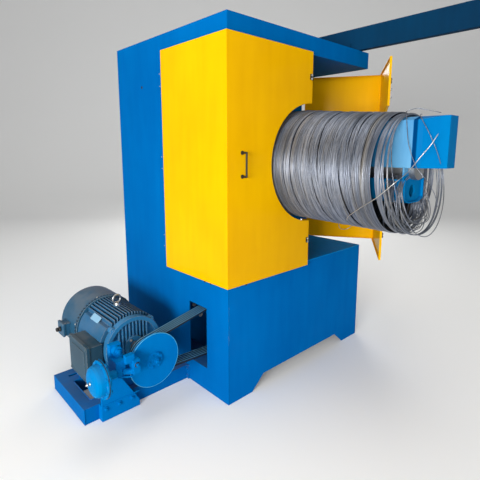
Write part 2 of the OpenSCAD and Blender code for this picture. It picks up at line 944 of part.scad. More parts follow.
// The foot on the +X side at the motor's front end
module one_foot() {
    difference() {
        union() {
            translate([-foot_w / 2, -foot_l / 2, 0]) cube([foot_w, foot_l, foot_t]);
            translate([-foot_w / 2, -foot_rib / 2, 0]) cube([foot_rib, foot_rib, foot_t + foot_web_h]);
            translate([-foot_w / 2, -foot_rib / 2, foot_t]) cube([foot_gusset, foot_rib, foot_gusset_h]);
        }
        translate([foot_hole_out, 0, -1]) cylinder(r = foot_hole_r, h = foot_t + 2, $fn = 32);
        translate([-foot_span / 2, foot_span, motor_centre_h])
        rotate([90, 0, 0]) cylinder(r = core_r, h = 2 * foot_span);
    }
}

module motor_feet() {
    color(motor_grey)
    translate([-motor_x, foot_mid_y, foot_z])
    for (sx = [0, 1])
        for (sy = [-1, 1])
            mirror([sx, 0, 0]) translate([foot_span / 2, sy * foot_run / 2, 0]) one_foot();
}

box_x = 1430;
box_y0 = 480;
box_w = 260;
box_z0 = 232;
box_h = 218;
box_d = 80;
neck_in = 30;
neck_h = 158;
box_wall_x = motor_x + side_x;
lid_t = 20;

module motor_terminal_box() {
    color(motor_grey)
    difference() {
        union() {
            translate([-box_x, box_y0, box_z0]) cube([box_d, box_w, box_h]);
            translate([-box_x + box_d, box_y0 + neck_in, box_z0 + neck_in])
            cube([box_x - box_d - box_wall_x, box_w - 2 * neck_in, neck_h]);
        }
        along_y(-motor_x, motor_z) translate([0, 0, -body_y1]) cylinder(r = fin_r + seat_gap, h = body_len);
    }
}

module terminal_box_lid() {
    color(motor_grey)
    translate([-box_x - lid_t, box_y0 - 6, box_z0 - 6]) cube([lid_t, box_w + 12, box_h + 12]);
}

aux_w = 70;
aux_h = 84;
aux_d = 90;

module fan_junction_box() {
    color(motor_grey)
    difference() {
        translate([-motor_x - cowl_r - 34, body_y1 + 90, motor_z - aux_h / 2 + 10]) cube([aux_w, aux_d, aux_h]);
        along_y(-motor_x, motor_z) translate([0, 0, -body_y1 - cowl_len]) cylinder(r = cowl_r + seat_gap, h = cowl_len);
    }
}

eye_r = 26;
eye_bar = 7;
eye_y = motor_y + 222;

module lifting_eye() {
    color(bare_steel)
    translate([-motor_x, eye_y, motor_z + eye_seat_r]) {
        cylinder(r1 = 20, r2 = 15, h = 14);
        translate([0, 0, 12 + eye_r + eye_bar / 2])
        rotate([90, 0, 0])
        rotate_extrude() translate([eye_r, 0]) circle(r = eye_bar, $fn = 32);
    }
}

shaft_y0 = disc_y + 4 + seat_gap;

module motor_shaft() {
    color(bare_steel)
    along_y(-motor_x, motor_z)
    translate([0, 0, -body_y0 + seat_gap]) cylinder(r = shaft_r, h = body_y0 - seat_gap - shaft_y0);
}

disc_hub_r = 52;
disc_bolts = 6;

module brake_disc() {
    color(paint_blue)
    along_y(-motor_x, motor_z)
    difference() {
        rotate_extrude()
        polygon([
            [shaft_r, -disc_y - disc_t],
            [disc_r - 2, -disc_y - disc_t],
            [disc_r, -disc_y - disc_t + 2],
            [disc_r, -disc_y - 2],
            [disc_r - 2, -disc_y],
            [disc_hub_r, -disc_y],
            [disc_hub_r - 4, -disc_y + 8],
            [24, -disc_y + 8],
            [24, -disc_y + 12],
            [13, -disc_y + 13],
            [13, -disc_y + 22],
            [0, -disc_y + 22],
            [0, -disc_y - 4],
            [shaft_r, -disc_y - 4]
        ]);
        for (i = [0 : disc_bolts - 1])
            rotate(i * 360 / disc_bolts)
            translate([40, 0, -disc_y - disc_t - 1])
            cylinder(r = 4, h = disc_t + 12, $fn = 24);
    }
}

// Brake: a stand on the motor frame, the caliper that straddles the disc, and its air chamber
stand_y = 396;
stand_t = 12;
stand_x0 = 1410;
stand_top = 455;
stand_post = [69, 137];
stand_foot_w = 250;
stand_toe_h = 40;
stand_knee_z = 230;
stand_neck_z = 320;

module brake_stand() {
    color(paint_blue) {
        translate([-stand_x0, stand_y + stand_t, 0])
        rotate([90, 0, 0])
        linear_extrude(stand_t)
        polygon([
            [0, 0], [stand_foot_w, 0], [stand_foot_w, stand_toe_h], [stand_post[1], stand_knee_z],
            [stand_post[1], stand_top], [stand_post[0], stand_top], [stand_post[0], stand_neck_z], [0, stand_knee_z]
        ]);
        // Two ribs that reach back to the motor frame's front rail
        for (x = [0, stand_foot_w - 2 * stand_t])
            translate([-stand_x0 + x, stand_y + stand_t, 0]) cube([stand_t, rail_y0 - stand_y - stand_t, rail_h]);
    }
}

cal_x0 = 1404;
lever_y = 266;
lever_t = 34;
lever_x = [1398, 1332];
lever_z = [402, 536];
strut_x = 1341;
strut_w = 27;
jaw_x0 = 1324;
jaw_x1 = 1284;
jaw_z0 = 386;
jaw_z1 = 470;
jaw_t = 46;
arm_r = 16;
arm_y = 212;
arm_z = 401;
arm_turn = 33;
arm_len = 98;
arm_start = 18;
pad_t = 12;
pad_w = 38;
pad_front = disc_y - pad_gap;
pad_rear = disc_y + disc_t + pad_gap;
jaw_front = pad_front - pad_t - jaw_t;

module brake_caliper() {
    color(paint_blue) {
        // Lever with the two round bosses of its pivots, and the strut that carries it on the stand
        translate([-lever_x[0], lever_y, lever_z[0]]) cube([lever_x[0] - lever_x[1], lever_t, lever_z[1] - lever_z[0]]);
        translate([-strut_x, lever_y + 10, stand_top - 70]) cube([strut_w, stand_y - lever_y - 10, 68]);
        translate([-lever_x[1] - 31, lever_y + 5, lever_z[1] - 36]) rotate([90, 0, 0]) cylinder(r = 28, h = 30);
        translate([-lever_x[1] - 31, lever_y + 5, lever_z[1] - 36]) rotate([90, 0, 0]) cylinder(r = 14, h = 40);
        translate([-lever_x[1] - 24, lever_y + 5, lever_z[1] - 76]) rotate([90, 0, 0]) cylinder(r = 22, h = 34);
        // Fork between the lever and the chamber
        translate([-cal_x0, arm_y - 26, arm_z - 21]) cube([56, lever_y - arm_y + 40, 88]);
        // Round arm and end collar that carry the push to the front jaw
        translate([-cal_x0 + 4, arm_y, arm_z])
        rotate([0, 0, -arm_turn])
        rotate([0, 90, 0])
        translate([0, 0, arm_start]) {
            cylinder(r = arm_r, h = arm_len - arm_start);
            cylinder(r = arm_r + 11, h = 24);
        }
        // Front jaw with its ear, and the bolt's boss on it
        translate([-jaw_x0, jaw_front, jaw_z0]) cube([jaw_x0 - jaw_x1, jaw_t, jaw_z1 - jaw_z0]);
        translate([-jaw_x0 - 38, jaw_front + 13, jaw_z1 - 12]) cube([52, jaw_t - 16, 46]);
        translate([-jaw_x1 - 22, jaw_front, jaw_z1 - 25]) rotate([90, 0, 0]) cylinder(r = 15, h = 6);
        translate([-jaw_x1 - 22, jaw_front, jaw_z1 - 25]) rotate([90, 0, 0]) cylinder(r = 9, h = 12);
        // Rear arm behind the disc
        translate([-cal_x0 + 6, pad_rear + pad_t, jaw_z0 + 4]) cube([cal_x0 - jaw_x1 - 6, 28, 50]);
        // Pads
        translate([-jaw_x1 - pad_w, pad_front - pad_t, jaw_z0 + 4]) cube([pad_w, pad_t, 60]);
        translate([-jaw_x1 - pad_w, pad_rear, jaw_z0 + 6]) cube([pad_w, pad_t, 46]);
    }
}

cham_y = 195;
cham_z = 402;
cham_x = 1484;
cham_len = 62;
chamber_bolts = 8;

module brake_chamber() {
    color(paint_blue)
    translate([-cham_x, cham_y, cham_z])
    rotate([0, -90, 0])
    difference() {
        rotate_extrude()
        polygon([
            [0, -cham_x + cal_x0],
            [24, -cham_x + cal_x0],
            [24, -34],
            [64, -30],
            [chamber_r - 22, -10],
            [chamber_r - 4, -8],
            [chamber_r, -8],
            [chamber_r, 8],
            [chamber_r - 16, 9],
            [chamber_r - 19, cham_len - 26],
            [chamber_r - 26, cham_len - 12],
            [chamber_r - 40, cham_len - 4],
            [40, cham_len],
            [0, cham_len]
        ]);
        for (i = [0 : chamber_bolts - 1])
            rotate((i + 0.5) * 360 / chamber_bolts)
            translate([chamber_r - 8, 0, -10])
            cylinder(r = 4, h = 20, $fn = 24);
    }
}

// Motor frame: channels on the floor, tied to the housing's left side
module channel_x(x0, x1, y, side) {
    translate([x0, y, 0])
    rotate([90, 0, 90])
    linear_extrude(x1 - x0)
    polygon([
        [0, 0], [side * rail_w, 0], [side * rail_w, rail_t], [side * rail_t, rail_t],
        [side * rail_t, rail_h - rail_t], [side * rail_w, rail_h - rail_t], [side * rail_w, rail_h], [0, rail_h]
    ]);
}

mid_rail_y = foot_mid_y + foot_run / 2 - rail_w / 2;

module motor_frame() {
    color(paint_blue) {
        channel_x(-rail_x, -half_w, rail_y0, 1);
        channel_x(-rail_x, -half_w, rail_y1, -1);
        channel_x(-rail_x + rail_t, -motor_x + foot_span / 2 + 120, mid_rail_y, 1);
        translate([-rail_x, rail_y0, 0]) cube([rail_t, rail_y1 - rail_y0, rail_h]);
        for (z = [0, rail_h - rail_t])
            translate([-rail_x, rail_y0, z]) cube([rail_w, rail_y1 - rail_y0, rail_t]);
        translate([-motor_x + foot_span / 2 + 50, rail_y0 + rail_t, 0])
        cube([rail_t, rail_y1 - rail_y0 - 2 * rail_t, rail_h]);
        translate([-half_w - 10, rail_y0 - 18, 0]) cube([10, rail_w + 36, rail_h]);
    }
}

slide_w = 54;
slide_over = 70;

module motor_slide_rails() {
    color(paint_blue)
    for (s = [-1, 1])
        translate([-motor_x - foot_span / 2 - slide_over, foot_mid_y + s * foot_run / 2 - slide_w / 2, rail_h])
        difference() {
            cube([foot_span + 2 * slide_over, slide_w, foot_z - rail_h]);
            translate([-1, 14, -1]) cube([foot_span + 2 * slide_over + 2, slide_w - 28, foot_z - rail_h - 16]);
        }
}

seat() column();
seat() hood();
seat() base_left_wall();
seat() base_front_wall();
seat() base_right_wall();
seat() base_top_plate();
seat() overhead_beam();
seat() beam_cleats();
seat() spindle_bearing();
seat() door_catch();
seat() left_hinges();
seat() right_hinges();
seat() left_door();
seat() left_door_knuckles();
seat() left_door_handle();
seat() left_door_latches();
seat() right_door();
seat() right_door_knuckles();
seat() right_door_handle();
seat() right_door_latches();
seat() spindle();
seat() drum();
seat() drum_web();
seat() mandrel_upper();
seat() mandrel_lower();
seat() mandrel_frames();
seat() wire_coil();
seat() driven_pulley();
seat() driven_shaft();
seat() driven_bearing();
seat() drive_belts();
seat() motor_body();
seat() motor_end_shield();
seat() motor_fan_cowl();
seat() motor_feet();
seat() motor_terminal_box();
seat() terminal_box_lid();
seat() fan_junction_box();
seat() lifting_eye();
seat() motor_shaft();
seat() motor_pulley();
seat() brake_disc();
seat() brake_stand();
seat() brake_caliper();
seat() brake_chamber();
seat() motor_frame();
seat() motor_slide_rails();
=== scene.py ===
import math

import bpy
import numpy as np
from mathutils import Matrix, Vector


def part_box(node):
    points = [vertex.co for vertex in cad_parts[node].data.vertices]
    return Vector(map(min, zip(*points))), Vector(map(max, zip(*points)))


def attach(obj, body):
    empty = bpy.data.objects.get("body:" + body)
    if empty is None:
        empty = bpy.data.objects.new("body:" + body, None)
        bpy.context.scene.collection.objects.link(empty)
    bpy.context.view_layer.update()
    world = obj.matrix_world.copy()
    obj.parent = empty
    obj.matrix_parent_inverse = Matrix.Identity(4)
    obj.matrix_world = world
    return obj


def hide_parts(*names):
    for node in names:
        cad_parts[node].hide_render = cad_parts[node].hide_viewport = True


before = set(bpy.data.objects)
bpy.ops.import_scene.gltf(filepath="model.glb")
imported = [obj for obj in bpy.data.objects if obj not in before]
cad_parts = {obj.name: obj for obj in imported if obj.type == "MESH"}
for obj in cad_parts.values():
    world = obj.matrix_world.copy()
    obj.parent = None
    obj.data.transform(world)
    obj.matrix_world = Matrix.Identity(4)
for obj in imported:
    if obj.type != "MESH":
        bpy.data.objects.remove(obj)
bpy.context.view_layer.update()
rng = np.random.default_rng(7)
TAU = 2 * math.pi

# Places shared with the CAD part, in metres

MOUTH = 0.66                     # the housing's front face lies this far in front of the origin
FRONT = -MOUTH
AXIS_Z = 1.513                   # the drum's axis above the floor
DRUM_R = 0.355
DRUM_AXIS = (0.0, AXIS_Z)        # x and z of an axis that runs front to back, here and below
MOTOR_AXIS = (-1.154, 0.387)
DRIVEN_AXIS = (-0.42, 0.437)
# painted shade lies on the mandrel between these two places
MANDREL_FOLD = (-1.472, -1.450)  # the mandrel's sides are folded in between these places along Y
BELT_PITCH = 0.018
BELT_GAP_Y = -0.43               # the middle of one gap between two belts

TO_LEFT = (-1, 0, 0)
TO_RIGHT = (1, 0, 0)
TO_FRONT = (0, -1, 0)
TO_REAR = (0, 1, 0)
UP = (0, 0, 1)
DOWN = (0, 0, -1)


def at(x, front, z):
    """A place given by its distance behind the housing's front face, as in the part's source."""
    return x, front - MOUTH, z


# Shader maths

def srgb(red, green, blue):
    """A colour written as it looks on screen, 0 to 255, as the linear values that the shader takes."""
    steps = np.array([red, green, blue]) / 255.0
    linear = np.where(steps <= 0.04045, steps / 12.92, ((steps + 0.055) / 1.055) ** 2.4)
    return (*map(float, linear), 1.0)


class Value:
    """An output socket in a material. Arithmetic on it adds Math nodes."""

    def __init__(self, finish, socket):
        self.finish = finish
        self.socket = socket

    def math(self, operation, other, swapped=False):
        pair = (other, self) if swapped else (self, other)
        return self.finish.node("ShaderNodeMath", {"operation": operation}, *pair)

    def __add__(self, other):
        return self.math("ADD", other)

    def __sub__(self, other):
        return self.math("SUBTRACT", other)

    def __rsub__(self, other):
        return self.math("SUBTRACT", other, swapped=True)

    def __mul__(self, other):
        return self.math("MULTIPLY", other)

    __radd__ = __add__
    __rmul__ = __mul__


class Finish:
    """One material: its nodes are added by node(), and its Principled shader is fed by set()."""

    def __init__(self, name, colour, rough, metal=0.0, **fixed):
        self.material = bpy.data.materials.new(name)
        self.material.use_nodes = True
        self.tree = self.material.node_tree
        self.shader = self.tree.nodes["Principled BSDF"]
        self.set("Base Color", colour)
        self.set("Roughness", rough)
        self.set("Metallic", metal)
        for socket, value in fixed.items():
            self.set(socket.replace("_", " "), value)
        self.coords = self.node("ShaderNodeTexCoord", {}, out="Object")

    def set(self, socket, value):
        self.feed(self.shader.inputs[socket], value)

    def feed(self, socket, value):
        if isinstance(value, Value):
            self.tree.links.new(value.socket, socket)
        else:
            socket.default_value = value

    def node(self, kind, settings, *values, out=0, **named):
        """Adds one node: its settings, then values for its sockets in order, with None to skip one, or by
        name."""
        node = self.tree.nodes.new(kind)
        for key, value in settings.items():
            setattr(node, key, value)
        for socket, value in zip(node.inputs, values):
            if value is not None:
                self.feed(socket, value)
        for key, value in named.items():
            self.feed(node.inputs[key.replace("_", " ")], value)
        return Value(self, node.outputs[out])

    def noise(self, scale, detail=4.0, rough=0.55, distort=0.0, where=None):
        return self.node("ShaderNodeTexNoise", {}, out="Fac", Vector=where or self.coords,
                         Scale=scale, Detail=detail, Roughness=rough, Distortion=distort)

    def stretched(self, scale):
        """Object coordinates, scaled apart along each axis, for streaks and brushing."""
        return self.node("ShaderNodeMapping", {}, Vector=self.coords, Scale=scale)

    def along(self, axis):
        """The object coordinate along X, Y or Z."""
        return self.node("ShaderNodeSeparateXYZ", {}, self.coords, out=axis)

    def level(self, value, low, high):
        """0 at low, 1 at high, straight between and level beyond. It falls where high is less than low."""
        return self.node("ShaderNodeMapRange", {}, Value=value, From_Min=low, From_Max=high)

    def mix(self, share, first, second):
        """Colour first where share is 0 and second where it is 1."""
        number_and_vector_sockets = [None] * 5
        return self.node("ShaderNodeMix", {"data_type": "RGBA"}, share, *number_and_vector_sockets,
                         first, second, out=2)

    def bump(self, height, distance, strength, normal=None):
        """Relief of the given height and strength, on the normal given or on the surface's own."""
        named = {"Normal": normal} if normal else {}
        self.set("Normal", self.node("ShaderNodeBump", {}, Strength=strength, Distance=distance,
                                     Height=height, **named))

    def facing_up(self):
        """1 where the surface faces up in its rest place, 0 where it stands or faces down."""
        normal = self.node("ShaderNodeTexCoord", {}, out="Normal")
        return self.level(self.node("ShaderNodeSeparateXYZ", {}, normal, out="Z"), 0.2, 0.95)

    def edges(self, radius):
        """1 along the piece's sharp edges, and the softened normal that rounds them."""
        soft = self.node("ShaderNodeBevel", {"samples": 4}, Radius=radius)
        flat = self.node("ShaderNodeNewGeometry", {}, out="Normal")
        match = self.node("ShaderNodeVectorMath", {"operation": "DOT_PRODUCT"}, soft, flat, out="Value")
        return self.level(1 - match, 0.02, 0.22), soft


# Finishes

GREY_PRIMER = (0.30, 0.31, 0.31, 1.0)
PALE_PRIMER = srgb(196, 186, 160)
GREY_DUST = srgb(96, 104, 112)
PALE_DUST = srgb(126, 126, 124)
YELLOW_DUST = srgb(214, 190, 120)
GRIME = srgb(58, 66, 68)
PALE_EDGES = srgb(158, 162, 158)
# painted light on the mandrel: a dark blue painted as the fold's shade, and a pale painted sheen
FOLD_SHADE_BLUE = srgb(0, 60, 112)
PAINTED_SHEEN_BLUE = srgb(140, 200, 232)
BELT_GAP_SHADE = srgb(4, 8, 14)
DRY_SOAP = srgb(146, 136, 116)
SOAP_FILM = srgb(118, 122, 122)


def folded(paint, near, far):
    """1 between two places along Y, where the mandrel's sides are folded in: the band painted dark as shade.
    """
    y = paint.along("Y")
    blur = 0.003
    return paint.level(y, near - blur, near + blur) * paint.level(y, far + blur, far - blur)


def painted_arm_sheen(paint, fold_end):
    """1 where a sheen is painted: the side of the mandrel's upper arm just behind its fold, fading over 0.26
    m towards the drum.
    """
    y, z = paint.along("Y"), paint.along("Z")
    upper_arm = paint.level(z, 1.47, 1.50)
    starts = paint.level(y, fold_end, fold_end + 0.004)
    fades = paint.level(y, fold_end + 0.26, fold_end + 0.02)
    return upper_arm * starts * fades


def enamel(name, colour, dark, dust=0.25, rough=0.3, wear=0.5, chip=GREY_PRIMER, coat=0.0, gloss=0.05,
           dusty=GREY_DUST, fold=None):
    """Brushed and sprayed machine enamel: slow shifts of tone, orange peel, worn edges, and dust on top.
    With a fold, two places along Y, shade is painted dark between them and a pale sheen is painted behind
    it."""
    paint = Finish(name, colour, rough, Coat_Weight=coat, Coat_Roughness=0.14, Specular_IOR_Level=gloss,
                   IOR=1.1)
    slow = paint.noise(1.3, detail=3.0, rough=0.6)
    streak = paint.noise(6.0, detail=3.0, rough=0.5, where=paint.stretched((3.0, 3.0, 0.35)))
    edge, soft = paint.edges(radius=0.0035)
    flakes = paint.noise(34.0, detail=5.0, rough=0.7) * 0.6 + paint.noise(3.0, detail=2.0) * 0.4
    worn = edge * paint.level(flakes, 0.55, 0.64) * wear
    rubs = paint.noise(55.0, rough=0.75, distort=0.4, where=paint.stretched((1.0, 1.0, 0.25)))
    areas = paint.level(paint.noise(3.4, detail=2.0, rough=0.5), 0.5, 0.68)
    spots = areas * paint.level(rubs, 0.69, 0.76)
    settled = paint.facing_up() * paint.level(paint.noise(5.0, detail=5.0, rough=0.62), 0.2, 0.75) * dust
    film = paint.level(paint.noise(2.1, detail=6.0, rough=0.7), 0.58, 0.95) * (dust * 0.12)
    tone = paint.mix(paint.level(slow * 0.7 + streak * 0.3, 0.36, 0.66), dark, colour)
    tone = paint.mix(spots * 0.3, tone, dusty)
    tone = paint.mix(worn, tone, chip)
    tone = paint.mix(settled + film, tone, dusty)
    roughness = rough + 0.1 * slow + settled * 0.45 + spots * 0.2
    # painted light: thin marks the fold's band, painted dark as shade and made rough; a pale sheen is
    # painted behind it
    if fold:
        thin = folded(paint, *fold)
        sheen = painted_arm_sheen(paint, fold[1]) * paint.level(slow + streak * 0.4, 0.3, 0.8) * 0.75
        tone = paint.mix(sheen, paint.mix(thin, tone, FOLD_SHADE_BLUE), PAINTED_SHEEN_BLUE)
        roughness = roughness + thin * 0.6
    paint.set("Base Color", tone)
    paint.set("Roughness", roughness)
    peel = paint.noise(240.0, detail=2.0, rough=0.5) * 0.35 + paint.noise(14.0, detail=2.0) * 0.65
    paint.bump(peel, 0.0009, 0.3, soft)
    return paint.material


def bare_steel(name, colour, dark, rough=0.34, brush=(1.0, 60.0, 60.0)):
    """Turned or drawn steel: fine lines along the cut, and patches of oil."""
    steel = Finish(name, colour, rough, metal=0.92)
    lines = steel.noise(12.0, rough=0.7, where=steel.stretched(brush))
    oil = steel.noise(9.0, rough=0.6)
    steel.set("Base Color", steel.mix(steel.level(oil, 0.35, 0.7), dark, colour))
    steel.set("Roughness", rough + 0.22 * lines)
    steel.bump(lines, 0.0004, 0.3)
    return steel.material


def plain_cast(name, colour, dark, rough):
    """Rough-cast iron under thin oil."""
    iron = Finish(name, colour, rough, metal=0.65)
    patch = iron.noise(7.0, rough=0.6)
    iron.set("Base Color", iron.mix(iron.level(patch, 0.3, 0.7), dark, colour))
    iron.set("Roughness", rough + 0.2 * patch)
    iron.bump(iron.noise(160.0, detail=3.0, rough=0.6), 0.0008, 0.4)
    return iron.material


def motor_paint(name, colour, dark, dust):
    """Satin paint over cast iron: grainy, paler along all its edges, with dust on what faces up."""
    paint = Finish(name, colour, 0.4, Specular_IOR_Level=0.3, IOR=1.25)
    edge, soft = paint.edges(radius=0.0032)
    settled = paint.facing_up() * paint.level(paint.noise(6.0), 0.36, 0.56) * dust
    grime = paint.level(paint.noise(20.0, detail=6.0, rough=0.7), 0.52, 0.8) * 0.3
    tone = paint.mix(paint.level(paint.noise(5.0, rough=0.6), 0.35, 0.68), dark, colour)
    tone = paint.mix(edge * 0.85, tone, PALE_EDGES)
    tone = paint.mix(grime, tone, GRIME)
    tone = paint.mix(settled, tone, PALE_DUST)
    paint.set("Base Color", tone)
    paint.set("Roughness", 0.36 + settled * 0.4 + grime * 0.2)
    paint.bump(paint.noise(210.0, detail=3.0, rough=0.6), 0.0007, 0.4, soft)
    return paint.material


def rubber(name, colour, dark, pitch=0.0, start=0.0, crown_highlight=None):
    """Worn cloth or rubber: fine lengthwise threads and a dull shine. With a pitch it bands along Y: painted
    shade, near black, at start + n * pitch, between two belts, and a painted highlight halfway, on each
    belt's crown."""
    cloth = Finish(name, colour, 0.5, Specular_IOR_Level=0.4)
    thread = cloth.noise(420.0, detail=2.0, rough=0.6, where=cloth.stretched((0.2, 3.0, 0.2)))
    patch = cloth.noise(11.0, rough=0.6)
    tone = cloth.mix(cloth.level(thread * 0.5 + patch * 0.5, 0.35, 0.68), dark, colour)
    if pitch:
        # painted light: a highlight on each belt's crown and near black shade between the belts
        from_gap = (cloth.along("Y") - start).math("PINGPONG", pitch / 2)
        tone = cloth.mix(cloth.level(from_gap, 0.30 * pitch, 0.44 * pitch) * 0.9, tone, crown_highlight)
        tone = cloth.mix(cloth.level(from_gap, 0.22 * pitch, 0.12 * pitch), tone, BELT_GAP_SHADE)
    cloth.set("Base Color", tone)
    cloth.set("Roughness", 0.42 + 0.25 * patch)
    cloth.bump(thread, 0.0005, 0.5)
    return cloth.material


def drawn_wire(name, colour, dark, rough=0.36):
    """Drawn wire: grey steel under the drawing soap's dull film, bluer and browner from bundle to bundle."""
    wire = Finish(name, colour, rough, metal=0.8)
    across = wire.noise(30.0, detail=5.0, rough=0.75, where=wire.stretched((0.12, 5.0, 0.12)))
    bundle = wire.noise(5.0, detail=3.0, rough=0.6, where=wire.stretched((0.2, 4.0, 0.2)))
    shade = wire.noise(6.5, detail=2.0, rough=0.5, where=wire.stretched((0.15, 3.0, 0.15)))
    film = wire.noise(12.0, rough=0.6)
    tone = wire.mix(wire.level(across, 0.34, 0.62), dark, colour)
    tone = wire.mix(wire.level(bundle, 0.5, 0.66) * 0.5, tone, DRY_SOAP)
    tone = wire.mix(wire.level(shade, 0.48, 0.62) * 0.55, tone, dark)
    tone = wire.mix(wire.level(film, 0.55, 0.8) * 0.3, tone, SOAP_FILM)
    wire.set("Base Color", tone)
    wire.set("Roughness", rough - 0.06 + 0.25 * film)
    return wire.material


BLUE = enamel("housing_blue_enamel", srgb(0, 107, 180), srgb(0, 96, 168), dust=0.5)
# a lighter copy of the housing blue: painted light on the base's top plate, which lies in the hood's shade
SHELF_PAINTED_LIGHT = enamel("shelf_blue_painted_light", srgb(16, 136, 214), srgb(6, 124, 200), dust=0.15)
# a lighter copy of the housing blue: painted light on the base's front wall
APRON_PAINTED_LIGHT = enamel("apron_blue_painted_light", srgb(0, 114, 194), srgb(0, 103, 182), dust=0.5)
BEAM = enamel("beam_blue_enamel", srgb(12, 58, 90), srgb(14, 48, 76))
BRIGHT = enamel("brake_blue_enamel", srgb(0, 121, 196), srgb(0, 110, 184), dust=0.0, rough=0.24, gloss=0.06,
                wear=0.0)
# the mandrel's paint, with painted shade in its fold and a painted sheen on its upper arm
SKY = enamel("sky_blue_enamel", srgb(0, 124, 186), srgb(0, 112, 176), dust=0.15, rough=0.24, gloss=0.1,
             fold=MANDREL_FOLD)
YELLOW = enamel("door_yellow_enamel", srgb(250, 190, 0), srgb(240, 176, 0), dust=0.12, rough=0.24, wear=0.35,
                chip=PALE_PRIMER, coat=0.12, gloss=0.25, dusty=YELLOW_DUST)
PLATE = enamel("name_plate_tin", srgb(146, 190, 218), srgb(136, 180, 208), dust=0.1, wear=0.1)
# a pale blue painted as the highlight along the brake disc's rim
RIM_HIGHLIGHT = enamel("rim_highlight_blue", srgb(104, 192, 230), srgb(70, 168, 214), dust=0.0, rough=0.2, gloss=0.5)
MOTOR = motor_paint("motor_grey_paint", srgb(50, 106, 148), srgb(42, 93, 128), dust=0.4)
BOX = motor_paint("terminal_box_grey", srgb(38, 72, 90), srgb(31, 61, 78), dust=0.3)
# a darker copy of the motor paint: painted shade on the fan cowl and its box, which the key lamp lights more
COWL_SHADED = motor_paint("fan_cowl_grey_shaded", srgb(42, 90, 120), srgb(36, 80, 108), dust=0.45)
OVERSPRAY = motor_paint("motor_paint_oversprayed", srgb(44, 128, 182), srgb(42, 108, 152), dust=0.15)
DRUM = plain_cast("drum_iron_cast", srgb(118, 120, 122), srgb(84, 86, 88), 0.4)
TURNED = bare_steel("turned_steel", srgb(176, 178, 180), srgb(140, 142, 144))
ZINC = bare_steel("zinc_plate", srgb(206, 208, 206), srgb(172, 174, 172), 0.24, brush=(1.0, 1.0, 1.0))
# the last colour is the highlight painted on each belt's crown
BELT = rubber("belt_cloth", srgb(18, 62, 90), srgb(10, 38, 58), BELT_PITCH, BELT_GAP_Y, srgb(110, 176, 210))
BLACK = rubber("black_handle", srgb(28, 28, 30), srgb(18, 18, 20))
WIRE = drawn_wire("drawn_wire", srgb(164, 170, 182), srgb(88, 96, 110))
# a dark copy of the wire: painted shade for the layer under the bundles and inside the coil
WIRE_SHADE = drawn_wire("drawn_wire_painted_shade", srgb(56, 62, 72), srgb(30, 34, 42), 0.55)

NODE_FINISH = {
    BLUE: ("column", "hood", "base_left_wall", "base_right_wall",
           "left_hinges", "right_hinges", "left_door_knuckles", "right_door_knuckles",
           "spindle_bearing", "driven_bearing", "motor_frame", "motor_slide_rails"),
    SHELF_PAINTED_LIGHT: ("base_top_plate",),
    APRON_PAINTED_LIGHT: ("base_front_wall",),
    BEAM: ("overhead_beam", "beam_cleats"),
    BRIGHT: ("brake_disc", "brake_caliper", "brake_stand"),
    SKY: ("mandrel_upper", "mandrel_lower", "mandrel_frames", "brake_chamber"),
    YELLOW: ("left_door", "right_door"),
    MOTOR: ("motor_body", "motor_feet"),
    BOX: ("motor_terminal_box", "terminal_box_lid"),
    COWL_SHADED: ("motor_fan_cowl", "fan_junction_box"),
    OVERSPRAY: ("motor_end_shield",),
    DRUM: ("drum", "drum_web", "driven_pulley", "motor_pulley"),
    TURNED: ("spindle", "driven_shaft", "motor_shaft"),
    ZINC: ("lifting_eye",),
    BELT: ("drive_belts",),
    BLACK: ("left_door_handle", "right_door_handle", "door_catch",
            "left_door_latches", "right_door_latches"),
    WIRE: ("wire_coil",),
}
for node_finish, node_names in NODE_FINISH.items():
    for node_name in node_names:
        node_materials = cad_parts[node_name].data.materials
        node_materials.clear()
        node_materials.append(node_finish)


# Shapes worked out as grids of points

def surface(name, points, finish, body="root", close_u=False, smooth=True):
    """One mesh from one or more grids of points, shaped (..., u, v, 3), and what it rides on. Each grid cell
    is one face. A grid closes on itself along v, and along u where asked. Every grid here turns along v as a
    right-handed screw does while it goes along u, and the corners are taken in the order that faces out."""
    points = np.asarray(points, dtype=np.float64)
    rows, cols = points.shape[-3:-1]
    sheets = points.size // (3 * rows * cols)
    u = np.arange(rows if close_u else rows - 1)
    a, b = np.meshgrid(u, np.arange(cols), indexing="ij")
    next_a, next_b = (a + 1) % rows, (b + 1) % cols
    corners = np.stack([a * cols + b, a * cols + next_b, next_a * cols + next_b, next_a * cols + b], axis=-1)
    first = np.arange(sheets) * rows * cols
    faces = (corners.reshape(-1, 4) + first[:, None, None]).reshape(-1, 4)
    mesh = bpy.data.meshes.new(name)
    mesh.vertices.add(sheets * rows * cols)
    mesh.vertices.foreach_set("co", points.reshape(-1))
    mesh.loops.add(faces.size)
    mesh.loops.foreach_set("vertex_index", faces.reshape(-1).astype(np.int32))
    mesh.polygons.add(len(faces))
    mesh.polygons.foreach_set("loop_start", (np.arange(len(faces)) * 4).astype(np.int32))
    mesh.polygons.foreach_set("use_smooth", np.full(len(faces), smooth))
    mesh.update(calc_edges=True)
    mesh.validate()
    mesh.materials.append(finish)
    piece = bpy.data.objects.new(name, mesh)
    bpy.context.scene.collection.objects.link(piece)
    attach(piece, body)
    return piece


def frame_of(axis):
    """Two unit vectors across the given axis, so that the three make a right-handed set."""
    axis = np.asarray(axis, float) / np.linalg.norm(axis)
    side = np.cross([0, 0, 1] if abs(axis[2]) < 0.9 else [1, 0, 0], axis)
    side /= np.linalg.norm(side)
    return side, np.cross(axis, side), axis


def ring_of(centre, axis, radius, count, start=0.0):
    """Places spaced evenly on a circle round a centre, square to the axis."""
    side, up, _ = frame_of(axis)
    turn = np.arange(count) * TAU / count + start
    return np.asarray(centre) + radius * (np.cos(turn)[:, None] * side + np.sin(turn)[:, None] * up)


